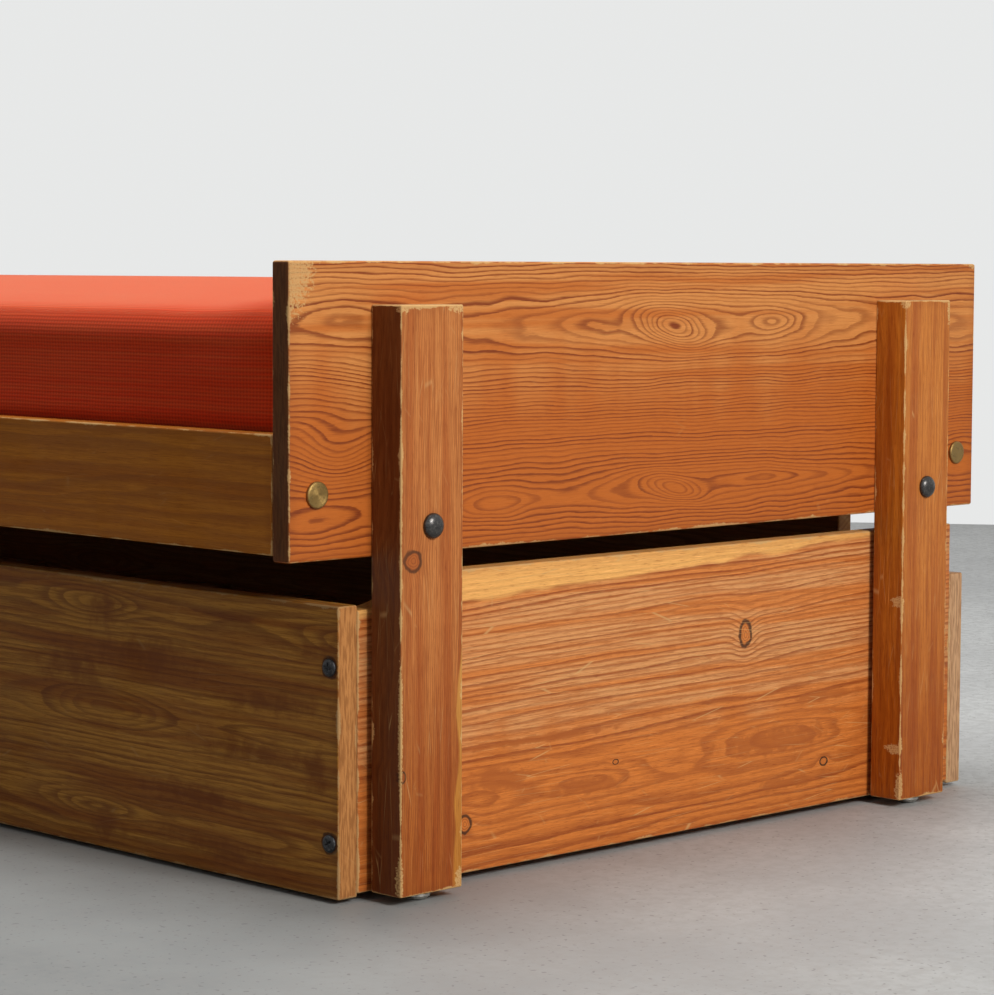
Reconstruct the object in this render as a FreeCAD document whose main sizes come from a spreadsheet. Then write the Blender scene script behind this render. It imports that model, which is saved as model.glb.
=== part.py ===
import FreeCAD, Part
import math
import os
import types

import Sketcher
from FreeCAD import Placement, Rotation, Vector

# A single bed in pine with a lower bed on castors that rolls out from under it.
# X runs along the bed, the lower bed pulls out towards -Y, and Z is up. The
# origin is on the floor, under the middle of the bed. Sizes are in millimetres.

TIMBER = {
    "board_thick": 22.0,
    "board_round": 2.0,
    "slat_round": 1.5,
    "fit_gap": 0.1,
    "cut_overrun": 1.0,
}

UPPER_BED = {
    "bed_length": 2000.0,
    "bed_width": 900.0,
    "bed_clearance": 19.0,
    "panel_height": 252.0,
    "panel_round": 2.5,
    "rail_rise": 5.0,
    "rail_height": 102.0,
    "ledger_thick": 16.0,
    "ledger_height": 45.0,
    "bed_slat_count": 13,
    "bed_slat_width": 95.0,
    "bed_slat_thick": 18.0,
    "slat_end_gap": 2.0,
}

POSTS = {
    "post_width": 73.0,
    "post_depth": 37.5,
    "post_drop": 37.0,
    "post_inset": 92.0,
    "post_round": 1.5,
    "glide_height": 8.0,
    "glide_diameter": 24.0,
    "glide_foot_diameter": 10.0,
    "glide_rim_bottom": 4.0,
    "glide_rim_top": 6.0,
    "glide_cup_radius": 9.0,
    "glide_neck_diameter": 16.0,
    "glide_nail_diameter": 3.0,
    "glide_nail_length": 18.0,
}

FRAME_FASTENERS = {
    "post_bolt_rise": 27.0,
    "post_bolt_diameter": 8.0,
    "post_bolt_spare": 3.0,
    "dome_diameter": 22.0,
    "dome_rim": 1.5,
    "dome_height": 5.5,
    "washer_diameter": 24.0,
    "washer_thick": 1.6,
    "nut_across_flats": 13.0,
    "nut_thick": 6.5,
    "dowel_diameter": 8.0,
    "dowel_in_panel": 14.0,
    "dowel_in_part": 22.0,
    "dowel_end_gap": 0.5,
    "post_dowel_rise": 80.0,
    "post_dowel_spacing": 75.0,
    "rail_dowel_spacing": 60.0,
    "rail_bolt_diameter": 6.0,
    "rail_bolt_reach": 52.0,
    "rail_cap_diameter": 23.0,
    "rail_cap_thick": 3.0,
    "rail_cap_bevel": 0.8,
    "barrel_diameter": 10.0,
    "barrel_length": 13.0,
    "barrel_set_back": 38.0,
}

WOOD_SCREWS = {
    "screw_diameter": 4.5,
    "screw_head_diameter": 8.5,
    "screw_tip": 4.0,
    "ledger_screw_rise": 14.0,
    "ledger_screw_bite": 14.0,
    "ledger_screw_margin": 110.0,
    "ledger_screw_count": 7,
    "slat_screw_bite": 22.0,
}

LOWER_BED = {
    "pull_end_gap": 6.0,
    "pull_setback": 60.0,
    "pull_depth": 878.0,
    "pull_floor_gap": 4.0,
    "pull_front_drop": 22.0,
    "pull_back_drop": 53.0,
    "pull_back_step": 150.0,
    "pull_end_rise": 3.0,
    "pull_end_height": 272.0,
    "ogee_drop": 27.0,
    "ogee_run": 110.0,
    "pull_ledger_thick": 22.0,
    "pull_ledger_height": 70.0,
    "pull_ledger_rise": 26.0,
    "pull_slat_count": 9,
    "pull_slat_width": 100.0,
    "pull_slat_thick": 22.0,
    "corner_screw_diameter": 5.0,
    "corner_screw_length": 60.0,
    "corner_head_diameter": 15.5,
    "corner_head_height": 3.0,
    "corner_head_rim": 1.0,
    "corner_screw_low": 48.0,
    "corner_screw_drop": 53.0,
    "recess_width": 2.0,
    "recess_span": 8.0,
    "recess_depth": 1.6,
}

CASTORS = {
    "wheel_diameter": 50.0,
    "wheel_width": 18.0,
    "wheel_round": 2.5,
    "hub_boss_diameter": 20.0,
    "hub_boss_length": 1.0,
    "axle_diameter": 8.0,
    "axle_flange_diameter": 14.0,
    "axle_flange_thick": 2.0,
    "wheel_side_gap": 0.5,
    "castor_inset": 95.0,
    "bracket_thick": 2.5,
    "bracket_width": 56.0,
    "bracket_bottom": 12.0,
    "bracket_height": 64.0,
    "bracket_round": 6.0,
    "castor_screw_spacing": 34.0,
    "castor_screw_drop": 12.0,
    "castor_screw_length": 16.0,
    "castor_head_diameter": 9.0,
    "castor_head_height": 2.2,
}

MATTRESS = {
    "mattress_thick": 135.0,
    "mattress_crown": 6.0,
    "mattress_shoulder": 24.0,
    "mattress_bottom_round": 10.0,
    "mattress_side_draw": 3.0,
    "mattress_side_gap": 1.0,
    "mattress_seat_gap": 0.3,
}

# Stations of the mattress, as shares of its half length and of its end rounding.
CROWN_STATION_SHARES = (0.0, 0.35, 0.65, 0.85)
ROUNDING_ANGLE_SHARES = (0.0, 0.35, 0.7, 1.0)
# A hexagon's corner is this share of its width across the flats from the middle.
HEXAGON_CORNER_SHARE = 3 ** -0.5

SIZE_TABLES = (TIMBER, UPPER_BED, POSTS, FRAME_FASTENERS, WOOD_SCREWS, LOWER_BED, CASTORS, MATTRESS)


class Size:
    """A length with its present value and the spreadsheet formula that it follows."""

    def __init__(self, value, formula):
        self.value = float(value)
        self.formula = formula

    @staticmethod
    def of(item):
        return item if isinstance(item, Size) else Size(item, repr(item))

    def __add__(self, other):
        other = Size.of(other)
        return Size(self.value + other.value, f"({self.formula} + {other.formula})")

    def __sub__(self, other):
        other = Size.of(other)
        return Size(self.value - other.value, f"({self.formula} - {other.formula})")

    def __mul__(self, other):
        other = Size.of(other)
        return Size(self.value * other.value, f"({self.formula} * {other.formula})")

    def __truediv__(self, other):
        other = Size.of(other)
        return Size(self.value / other.value, f"({self.formula} / {other.formula})")

    def __neg__(self):
        return Size(-self.value, f"(-{self.formula})")

    __radd__ = __add__
    __rmul__ = __mul__


ZERO = Size(0, "0")
NOWHERE = (ZERO, ZERO, ZERO)

doc = FreeCAD.newDocument("pull_out_bench_bed")


def fill_sheet():
    """Write the driving sizes to the sheet and return them as Size values by name."""
    sheet = doc.addObject("Spreadsheet::Sheet", "Sizes")
    sizes = {}
    row = 1
    for table in SIZE_TABLES:
        for name, value in table.items():
            sheet.set(f"A{row}", name)
            sheet.set(f"B{row}", str(value))
            sheet.setAlias(f"B{row}", name)
            sizes[name] = Size(value, f"Sizes.{name}")
            row += 1
    doc.recompute()
    return types.SimpleNamespace(**sizes)


s = fill_sheet()
subparts = []


def bind(item, **formulas):
    """Set properties of an object by formula; a double underscore stands for a dot."""
    for name, size in formulas.items():
        item.setExpression(name.replace("__", "."), size.formula)


def new_body(label, at=NOWHERE, half_turn=False):
    """Start a sub-part at a place, turned half round about Z for the opposite side."""
    body = doc.addObject("PartDesign::Body", label)
    body.Label = label
    body.AllowCompound = True
    body.Placement = Placement(Vector(), Rotation(Vector(0, 0, 1), 180 if half_turn else 0))
    bind(body, Placement__Base__x=at[0], Placement__Base__y=at[1], Placement__Base__z=at[2])
    subparts.append(body)
    return body


def origin_item(body, role):
    """The body's own origin plane or axis with this role."""
    return next(item for item in body.Origin.OriginFeatures if item.Role == role)


def sketch_on(body, role, at=NOWHERE):
    """Add a sketch to an origin plane of the body, moved to a place in the body."""
    sketch = body.newObject("Sketcher::SketchObject", "Outline")
    sketch.AttachmentSupport = (origin_item(body, role), "")
    sketch.MapMode = "FlatFace"
    x, y, z = at
    across, up, out = {"XY_Plane": (x, y, z), "XZ_Plane": (x, z, -y), "YZ_Plane": (y, z, x)}[role]
    bind(sketch, AttachmentOffset__Base__x=across, AttachmentOffset__Base__y=up,
         AttachmentOffset__Base__z=out)
    return sketch


def pin_point(sketch, geometry, position, across, up):
    """Tie one point of the sketch to its two coordinates."""
    for kind, axis, size in (("DistanceX", -2, across), ("DistanceY", -1, up)):
        if size is ZERO:
            sketch.addConstraint(Sketcher.Constraint("PointOnObject", geometry, position, axis))
        else:
            number = sketch.addConstraint(
                Sketcher.Constraint(kind, -1, 1, geometry, position, size.value))
            sketch.setExpression(f"Constraints[{number}]", size.formula)


def short_arc(start, end, radius, side):
    """The arc of under a half circle from start to end that bulges to one side."""
    chord = end - start
    half = chord.Length / 2
    bulge = radius - math.sqrt(radius ** 2 - half ** 2)
    across = Vector(-chord.y, chord.x, 0).normalize() * bulge * side
    return Part.Arc(start, (start + end) / 2 + across, end)


def trace(sketch, corners, arcs=None):
    """Draw a closed outline; arcs gives some edges a radius and a side to bulge to."""
    arcs = arcs or {}
    count = len(corners)
    points = [Vector(across.value, up.value, 0) for across, up in corners]
    first = sketch.GeometryCount
    ends = []
    for index, start in enumerate(points):
        end = points[(index + 1) % count]
        if index in arcs:
            radius, side = arcs[index]
            edge = sketch.addGeometry(short_arc(start, end, radius.value, side))
            number = sketch.addConstraint(Sketcher.Constraint("Radius", edge, radius.value))
            sketch.setExpression(f"Constraints[{number}]", radius.formula)
        else:
            edge = sketch.addGeometry(Part.LineSegment(start, end))
        near = sketch.getPoint(edge, 1).distanceToPoint(start)
        far = sketch.getPoint(edge, 2).distanceToPoint(start)
        ends.append((1, 2) if near < far else (2, 1))
    for index, (across, up) in enumerate(corners):
        edge = first + index
        before = (index - 1) % count
        joint = Sketcher.Constraint("Coincident", first + before, ends[before][1], edge, ends[index][0])
        sketch.addConstraint(joint)
        pin_point(sketch, edge, ends[index][0], across, up)


def trace_box(sketch, low, high):
    """Draw a rectangle between two opposite corners."""
    trace(sketch, [low, (high[0], low[1]), high, (low[0], high[1])])


def trace_circles(sketch, centres, diameter):
    """Draw equal circles at these centres."""
    for across, up in centres:
        centre = Vector(across.value, up.value, 0)
        circle = sketch.addGeometry(Part.Circle(centre, Vector(0, 0, 1), diameter.value / 2))
        number = sketch.addConstraint(Sketcher.Constraint("Diameter", circle, diameter.value))
        sketch.setExpression(f"Constraints[{number}]", diameter.formula)
        pin_point(sketch, circle, 3, across, up)


def settle(body, feature, grows=None):
    """Rebuild the body on its new feature, and check that it grew or shrank as meant."""
    body.Tip = feature
    doc.recompute()
    if "Invalid" in feature.State or feature.Shape.isNull():
        raise RuntimeError(f"{feature.Name} of {body.Label} failed")
    if grows is not None:
        change = feature.Shape.Volume - feature.BaseFeature.Shape.Volume
        if change == 0 or (change > 0) != grows:
            raise RuntimeError(f"{feature.Name} of {body.Label} points the wrong way")
    return feature


def pad(body, sketch, length, backwards=False):
    """Raise a sketch into a solid along its plane's normal, or against it."""
    feature = body.newObject("PartDesign::Pad", "Pad")
    feature.Profile = sketch
    feature.Reversed = backwards
    bind(feature, Length=length)
    sketch.Visibility = False
    return settle(body, feature)


def pocket(body, sketch, depth, backwards=False):
    """Cut a sketch into the body against its plane's normal, or along it."""
    feature = body.newObject("PartDesign::Pocket", "Pocket")
    feature.Profile = sketch
    feature.Reversed = backwards
    bind(feature, Length=depth)
    sketch.Visibility = False
    return settle(body, feature, grows=False)


def round_edges(body, radius):
    """Ease every edge of the body so far."""
    base = body.Tip
    feature = body.newObject("PartDesign::Fillet", "Fillet")
    feature.Base = (base, [""])
    feature.UseAllEdges = True
    feature.Radius = radius.value
    bind(feature, Radius=radius)
    return settle(body, feature, grows=False)


def bore(body, role, at, centres, diameter, depth, backwards=False):
    """Drill equal round holes from a plane into the body."""
    sketch = sketch_on(body, role, at)
    trace_circles(sketch, centres, diameter)
    return pocket(body, sketch, depth, backwards)


def countersink(body, role, at, centres, backwards=False):
    """Drill holes right through for flush wood screws, with their conical seats."""
    sketch = sketch_on(body, role, at)
    trace_circles(sketch, centres, screw_hole)
    doc.recompute()
    feature = body.newObject("PartDesign::Hole", "Hole")
    feature.Profile = sketch
    doc.recompute()
    feature.DepthType = "ThroughAll"
    feature.HoleCutType = "Countersink"
    feature.HoleCutCustomValues = True
    feature.HoleCutCountersinkAngle = 90
    feature.Reversed = backwards
    bind(feature, Diameter=screw_hole, HoleCutDiameter=s.screw_head_diameter + s.fit_gap * 2)
    sketch.Visibility = False
    return settle(body, feature, grows=False)


def turn(body, role, at, axis, corners, arcs=None):
    """Turn an outline round an axis of its own sketch."""
    sketch = sketch_on(body, role, at)
    trace(sketch, corners, arcs)
    feature = body.newObject("PartDesign::Revolution", "Revolution")
    feature.Profile = sketch
    feature.ReferenceAxis = (sketch, [axis])
    feature.Angle = 360
    sketch.Visibility = False
    return settle(body, feature)


def mirror(body, *roles):
    """Repeat all of the body on the other side of one or more origin planes."""
    for role in roles:
        feature = body.newObject("PartDesign::Mirrored", "Mirrored")
        feature.TransformMode = "Whole shape"
        feature.MirrorPlane = (origin_item(body, role), [""])
        settle(body, feature, grows=True)


def repeat(body, role, span, count):
    """Repeat all of the body along an origin axis, evenly over a span."""
    feature = body.newObject("PartDesign::LinearPattern", "LinearPattern")
    feature.TransformMode = "Whole shape"
    feature.Direction = (origin_item(body, role), [""])
    feature.Occurrences = int(count.value)
    bind(feature, Length=span, Occurrences=count)
    return settle(body, feature, grows=True)


# Places that several pieces share.
half_length = s.bed_length / 2
half_width = s.bed_width / 2
panel_half_width = half_width + s.board_thick
panel_outside = half_length + s.board_thick
post_outside = panel_outside + s.post_depth
post_line = panel_half_width - s.post_inset - s.post_width / 2

pull_half_length = panel_outside - s.pull_end_gap
pull_inner_length = pull_half_length - s.board_thick
pull_middle = s.pull_setback + s.pull_depth / 2 - panel_half_width
pull_half_depth = s.pull_depth / 2
pull_half_inside = pull_half_depth - s.board_thick
pull_end_bottom = s.pull_floor_gap + s.pull_end_rise
pull_top = pull_end_bottom + s.pull_end_height
pull_ledger_bottom = s.pull_floor_gap + s.pull_ledger_rise
pull_slat_bottom = pull_ledger_bottom + s.pull_ledger_height
pull_front_height = pull_top - s.pull_front_drop - s.pull_floor_gap
pull_back_height = pull_top - s.pull_floor_gap
pull_ledger_line = pull_half_inside - s.pull_ledger_thick / 2
pull_screw_reach = pull_inner_length - s.ledger_screw_margin
corner_hole = s.corner_screw_diameter + s.fit_gap * 2
corner_line = pull_half_length - s.board_thick / 2
corner_screw_spacing = pull_front_height - s.corner_screw_drop - s.corner_screw_low
castor_line = pull_half_inside - s.castor_inset
castor_screw_level = s.bracket_bottom + s.bracket_height - s.castor_screw_drop
axle_level = s.wheel_diameter / 2

panel_bottom = pull_top + s.bed_clearance
rail_bottom = panel_bottom + s.rail_rise
rail_middle = rail_bottom + s.rail_height / 2
bolt_level = panel_bottom + s.post_bolt_rise
post_height = panel_bottom + s.panel_height - s.post_drop - s.glide_height
ledger_bottom = rail_middle - s.ledger_height / 2
ledger_top = ledger_bottom + s.ledger_height
ledger_line = half_width - s.ledger_thick / 2
ledger_screw_reach = half_length - s.ledger_screw_margin
bed_slat_top = ledger_top + s.bed_slat_thick
screw_hole = s.screw_diameter + s.fit_gap * 2
bolt_hole = s.post_bolt_diameter + s.fit_gap * 2
rail_bolt_hole = s.rail_bolt_diameter + s.fit_gap * 2
dowel_hole = s.dowel_diameter + s.fit_gap * 2


def spread(reach, count):
    """Even places from -reach to reach."""
    total = int(count.value)
    return [reach * (2 * index / (total - 1) - 1) for index in range(total)]


def slat_places(inside, width, count):
    """Middles of slats that leave equal gaps over a length between two ends."""
    total = int(count.value)
    gap = (inside - width * count) / (count + 1)
    first = gap + width / 2 - inside / 2
    return [first + (gap + width) * index for index in range(total)]


def both_sides(*places):
    """Each place and its mirror image across the sketch's upright axis."""
    return [(side * across, up) for across, up in places for side in (1, -1)]


def end_panel(label, side):
    """The wide head or foot board that carries the rails and the posts."""
    body = new_body(label, (half_length * side, ZERO, panel_bottom), half_turn=side < 0)
    outline = sketch_on(body, "YZ_Plane")
    trace_box(outline, (-panel_half_width, ZERO), (panel_half_width, s.panel_height))
    pad(body, outline, s.board_thick)
    round_edges(body, s.panel_round)
    outer = (s.board_thick + s.cut_overrun, ZERO, ZERO)
    through = s.board_thick + s.cut_overrun * 2
    bore(body, "YZ_Plane", outer, both_sides((post_line, s.post_bolt_rise)), bolt_hole, through)
    rail_bolt = both_sides((ledger_line, rail_middle - panel_bottom))
    bore(body, "YZ_Plane", outer, rail_bolt, rail_bolt_hole, through)
    depth = s.dowel_in_panel + s.dowel_end_gap
    low = s.post_bolt_rise + s.post_dowel_rise
    post_dowels = both_sides((post_line, low), (post_line, low + s.post_dowel_spacing))
    bore(body, "YZ_Plane", (s.board_thick, ZERO, ZERO), post_dowels, dowel_hole, depth)
    rail_dowels = [(across, up - panel_bottom) for across, up in rail_dowel_places()]
    bore(body, "YZ_Plane", NOWHERE, rail_dowels, dowel_hole, depth, backwards=True)


def rail_dowel_places():
    """Where the rails' dowels enter the end panels, across and up."""
    line = half_width + s.board_thick / 2
    spacing = s.rail_dowel_spacing / 2
    return both_sides((line, rail_middle - spacing), (line, rail_middle + spacing))


def post(label, end, side):
    """One upright, bolted and dowelled to the outside of an end panel."""
    place = (panel_outside * end, post_line * side, s.glide_height)
    body = new_body(label, place, half_turn=end < 0)
    outline = sketch_on(body, "YZ_Plane")
    trace_box(outline, (-s.post_width / 2, ZERO), (s.post_width / 2, post_height))
    pad(body, outline, s.post_depth)
    round_edges(body, s.post_round)
    outer = (s.post_depth + s.cut_overrun, ZERO, ZERO)
    bolt = [(ZERO, bolt_level - s.glide_height)]
    bore(body, "YZ_Plane", outer, bolt, bolt_hole, s.post_depth + s.cut_overrun * 2)
    low = bolt_level + s.post_dowel_rise - s.glide_height
    dowels = [(ZERO, low), (ZERO, low + s.post_dowel_spacing)]
    depth = s.dowel_in_part + s.dowel_end_gap
    bore(body, "YZ_Plane", NOWHERE, dowels, dowel_hole, depth, backwards=True)
    nail = [(s.post_depth / 2, ZERO)]
    nail_hole = s.glide_nail_diameter + s.fit_gap * 2
    bore(body, "XY_Plane", NOWHERE, nail, nail_hole, s.glide_nail_length + s.fit_gap, backwards=True)


def rail(label, side):
    """A side rail between the end panels, flush with their edges."""
    body = new_body(label, (ZERO, half_width * side, rail_bottom), half_turn=side > 0)
    outline = sketch_on(body, "XZ_Plane")
    trace_box(outline, (-half_length, ZERO), (half_length, s.rail_height))
    pad(body, outline, s.board_thick)
    round_edges(body, s.board_round)
    up = s.rail_height / 2
    line = -s.board_thick / 2
    dowels = [(line, up - s.rail_dowel_spacing / 2), (line, up + s.rail_dowel_spacing / 2)]
    depth = s.dowel_in_part + s.dowel_end_gap
    bore(body, "YZ_Plane", (half_length, ZERO, ZERO), dowels, dowel_hole, depth)
    bore(body, "YZ_Plane", (-half_length, ZERO, ZERO), dowels, dowel_hole, depth, backwards=True)
    level = ledger_bottom + s.ledger_screw_rise - rail_bottom
    screws = [(place, level) for place in spread(ledger_screw_reach, s.ledger_screw_count)]
    bite = s.ledger_screw_bite + s.fit_gap
    bore(body, "XZ_Plane", NOWHERE, screws, screw_hole, bite, backwards=True)


def ledger(label, side):
    """The strip inside a rail that the slats lie on and the rail bolts screw into."""
    body = new_body(label, (ZERO, half_width * side, ledger_bottom), half_turn=side > 0)
    outline = sketch_on(body, "XZ_Plane")
    trace_box(outline, (-half_length, ZERO), (half_length, s.ledger_height))
    pad(body, outline, s.ledger_thick, backwards=True)
    face = (ZERO, s.ledger_thick, ZERO)
    reach = spread(ledger_screw_reach, s.ledger_screw_count)
    countersink(body, "XZ_Plane", face, [(place, s.ledger_screw_rise) for place in reach], backwards=True)
    middle = [(s.ledger_thick / 2, s.ledger_height / 2)]
    bolt_depth = s.rail_bolt_reach - s.board_thick + s.dowel_end_gap
    bore(body, "YZ_Plane", (half_length, ZERO, ZERO), middle, rail_bolt_hole, bolt_depth)
    bore(body, "YZ_Plane", (-half_length, ZERO, ZERO), middle, rail_bolt_hole, bolt_depth, backwards=True)
    barrels = both_sides((half_length - s.barrel_set_back + s.board_thick, s.ledger_height / 2))
    barrel_hole = s.barrel_diameter + s.fit_gap * 2
    bore(body, "XZ_Plane", face, barrels, barrel_hole, s.barrel_length + s.fit_gap, backwards=True)
    slats = slat_places(s.bed_length, s.bed_slat_width, s.bed_slat_count)
    screws = [(place, s.ledger_thick / 2) for place in slats]
    top = (ZERO, ZERO, s.ledger_height)
    bore(body, "XY_Plane", top, screws, screw_hole, s.slat_screw_bite + s.fit_gap)


def slat(label, place, length, width, thick, screw_line):
    """One slat, screwed down near both ends."""
    body = new_body(label, place)
    outline = sketch_on(body, "XY_Plane")
    trace_box(outline, (-width / 2, -length / 2), (width / 2, length / 2))
    pad(body, outline, thick)
    round_edges(body, s.slat_round)
    screws = [(ZERO, screw_line), (ZERO, -screw_line)]
    countersink(body, "XY_Plane", (ZERO, ZERO, thick), screws)


def bed_slats():
    """The slats under the mattress."""
    length = s.bed_width - s.slat_end_gap * 2
    places = slat_places(s.bed_length, s.bed_slat_width, s.bed_slat_count)
    for number, place in enumerate(places, start=1):
        corner = (place, ZERO, ledger_top)
        slat(f"bed_slat_{number}", corner, length, s.bed_slat_width, s.bed_slat_thick, ledger_line)


def wood_screw_outline(length, direction):
    """Half outline of a countersunk screw with its head at zero: radius, then along."""
    head = s.screw_head_diameter / 2
    shank = s.screw_diameter / 2
    along = [ZERO, head - shank, length - s.screw_tip, length]
    flat, under, taper, tip = [size if size is ZERO else size * direction for size in along]
    return [(ZERO, flat), (head, flat), (shank, under), (shank, taper), (ZERO, tip)]


def ledger_screws(label, middle, face, level, reach, thick):
    """Screws that hold a pair of ledgers, front and back, to their boards."""
    body = new_body(label, (ZERO, middle, ZERO))
    outline = wood_screw_outline(thick + s.ledger_screw_bite, 1)
    turn(body, "XY_Plane", (-reach, face, level), "V_Axis", outline)
    repeat(body, "X_Axis", reach * 2, s.ledger_screw_count)
    mirror(body, "XZ_Plane")


def slat_screws(label, middle, line, top, thick, places, count):
    """Screws that hold the slats down on a pair of ledgers."""
    body = new_body(label, (ZERO, middle, ZERO))
    outline = wood_screw_outline(thick + s.slat_screw_bite, -1)
    turn(body, "XZ_Plane", (places[0], line, top), "V_Axis", outline)
    repeat(body, "X_Axis", places[-1] - places[0], count)
    mirror(body, "XZ_Plane")


def post_bolts():
    """Dome-headed bolts through the posts and the end panels."""
    body = new_body("post_bolts")
    shank = s.post_bolt_diameter / 2
    head = s.dome_diameter / 2
    length = s.post_depth + s.board_thick + s.washer_thick + s.nut_thick + s.post_bolt_spare
    dome = (head * head + s.dome_height * s.dome_height) / (s.dome_height * 2)
    outline = [(-length, ZERO), (-length, shank), (ZERO, shank), (ZERO, head), (s.dome_rim, head),
               (s.dome_rim + s.dome_height, ZERO)]
    turn(body, "XY_Plane", (post_outside, post_line, bolt_level), "H_Axis", outline, {4: (dome, 1)})
    mirror(body, "XZ_Plane", "YZ_Plane")


def post_bolt_washers():
    """Washers on the inside of the end panels."""
    body = new_body("post_bolt_washers")
    hole = bolt_hole / 2
    rim = s.washer_diameter / 2
    outline = [(-s.washer_thick, hole), (ZERO, hole), (ZERO, rim), (-s.washer_thick, rim)]
    turn(body, "XY_Plane", (half_length, post_line, bolt_level), "H_Axis", outline)
    mirror(body, "XZ_Plane", "YZ_Plane")


def post_bolt_nuts():
    """Hexagon nuts that draw the posts against the end panels."""
    body = new_body("post_bolt_nuts")
    sketch = sketch_on(body, "YZ_Plane", (half_length - s.washer_thick, post_line, bolt_level))
    flat = s.nut_across_flats / 2
    corner = s.nut_across_flats * HEXAGON_CORNER_SHARE
    corners = [(flat, -corner / 2), (flat, corner / 2), (ZERO, corner),
               (-flat, corner / 2), (-flat, -corner / 2), (ZERO, -corner)]
    trace(sketch, corners)
    trace_circles(sketch, [(ZERO, ZERO)], bolt_hole)
    pad(body, sketch, s.nut_thick, backwards=True)
    mirror(body, "XZ_Plane", "YZ_Plane")


def frame_dowels():
    """Beech dowels that keep posts and rails from turning on their bolts."""
    body = new_body("frame_dowels")
    length = s.dowel_in_panel + s.dowel_in_part
    low = bolt_level + s.post_dowel_rise
    in_posts = sketch_on(body, "YZ_Plane", (panel_outside - s.dowel_in_panel, ZERO, ZERO))
    trace_circles(in_posts, [(post_line, low), (post_line, low + s.post_dowel_spacing)], s.dowel_diameter)
    pad(body, in_posts, length)
    in_rails = sketch_on(body, "YZ_Plane", (half_length - s.dowel_in_part, ZERO, ZERO))
    front = [place for place in rail_dowel_places() if place[0].value > 0]
    trace_circles(in_rails, front, s.dowel_diameter)
    pad(body, in_rails, length)
    mirror(body, "XZ_Plane", "YZ_Plane")


def rail_bolts():
    """Bolts with flat round heads from the end panels into the ledgers."""
    body = new_body("rail_bolts")
    shank = s.rail_bolt_diameter / 2
    head = s.rail_cap_diameter / 2
    bevelled = s.rail_cap_thick - s.rail_cap_bevel
    outline = [(-s.rail_bolt_reach, ZERO), (-s.rail_bolt_reach, shank), (ZERO, shank), (ZERO, head),
               (bevelled, head), (s.rail_cap_thick, head - s.rail_cap_bevel), (s.rail_cap_thick, ZERO)]
    turn(body, "XY_Plane", (panel_outside, ledger_line, rail_middle), "H_Axis", outline)
    mirror(body, "XZ_Plane", "YZ_Plane")


def barrel_nuts():
    """Cross dowels in the ledgers that the rail bolts screw into."""
    body = new_body("barrel_nuts")
    inner_face = half_width - s.ledger_thick
    place = (panel_outside - s.barrel_set_back, inner_face, rail_middle)
    radius = s.barrel_diameter / 2
    outline = [(ZERO, ZERO), (radius, ZERO), (radius, s.barrel_length), (ZERO, s.barrel_length)]
    turn(body, "XY_Plane", place, "V_Axis", outline)
    side = (panel_outside - s.barrel_set_back + radius + s.cut_overrun, ZERO, ZERO)
    centre = [(ledger_line, rail_middle)]
    bore(body, "YZ_Plane", side, centre, rail_bolt_hole, s.barrel_diameter + s.cut_overrun * 2)
    mirror(body, "XZ_Plane", "YZ_Plane")


def post_glides():
    """Nailed metal glides that the posts stand on."""
    body = new_body("post_glides")
    foot = s.glide_foot_diameter / 2
    rim = s.glide_diameter / 2
    neck = s.glide_neck_diameter / 2
    nail = s.glide_nail_diameter / 2
    tip = s.glide_height + s.glide_nail_length
    outline = [(ZERO, ZERO), (foot, ZERO), (rim, s.glide_rim_bottom), (rim, s.glide_rim_top),
               (neck, s.glide_height), (nail, s.glide_height), (nail, tip - nail * 2), (ZERO, tip)]
    place = (panel_outside + s.post_depth / 2, post_line, ZERO)
    turn(body, "XZ_Plane", place, "V_Axis", outline, {1: (s.glide_cup_radius, -1)})
    mirror(body, "XZ_Plane", "YZ_Plane")


def pull_cross_board(label, side, top):
    """The front or back board of the lower bed, over the ends of its end boards; top is its upper outline."""
    place = (ZERO, pull_middle + pull_half_inside * side, s.pull_floor_gap)
    body = new_body(label, place, half_turn=side > 0)
    outline = sketch_on(body, "XZ_Plane")
    trace(outline, [(-pull_half_length, ZERO), (pull_half_length, ZERO)] + top)
    pad(body, outline, s.board_thick)
    round_edges(body, s.board_round)
    outer = (ZERO, -s.board_thick - s.cut_overrun, ZERO)
    low = s.corner_screw_low
    corners = both_sides((corner_line, low), (corner_line, low + corner_screw_spacing))
    bore(body, "XZ_Plane", outer, corners, corner_hole, s.board_thick + s.cut_overrun * 2)
    level = pull_ledger_bottom + s.ledger_screw_rise - s.pull_floor_gap
    screws = [(place, level) for place in spread(pull_screw_reach, s.ledger_screw_count)]
    bite = s.ledger_screw_bite + s.fit_gap
    bore(body, "XZ_Plane", NOWHERE, screws, screw_hole, bite, backwards=True)


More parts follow.
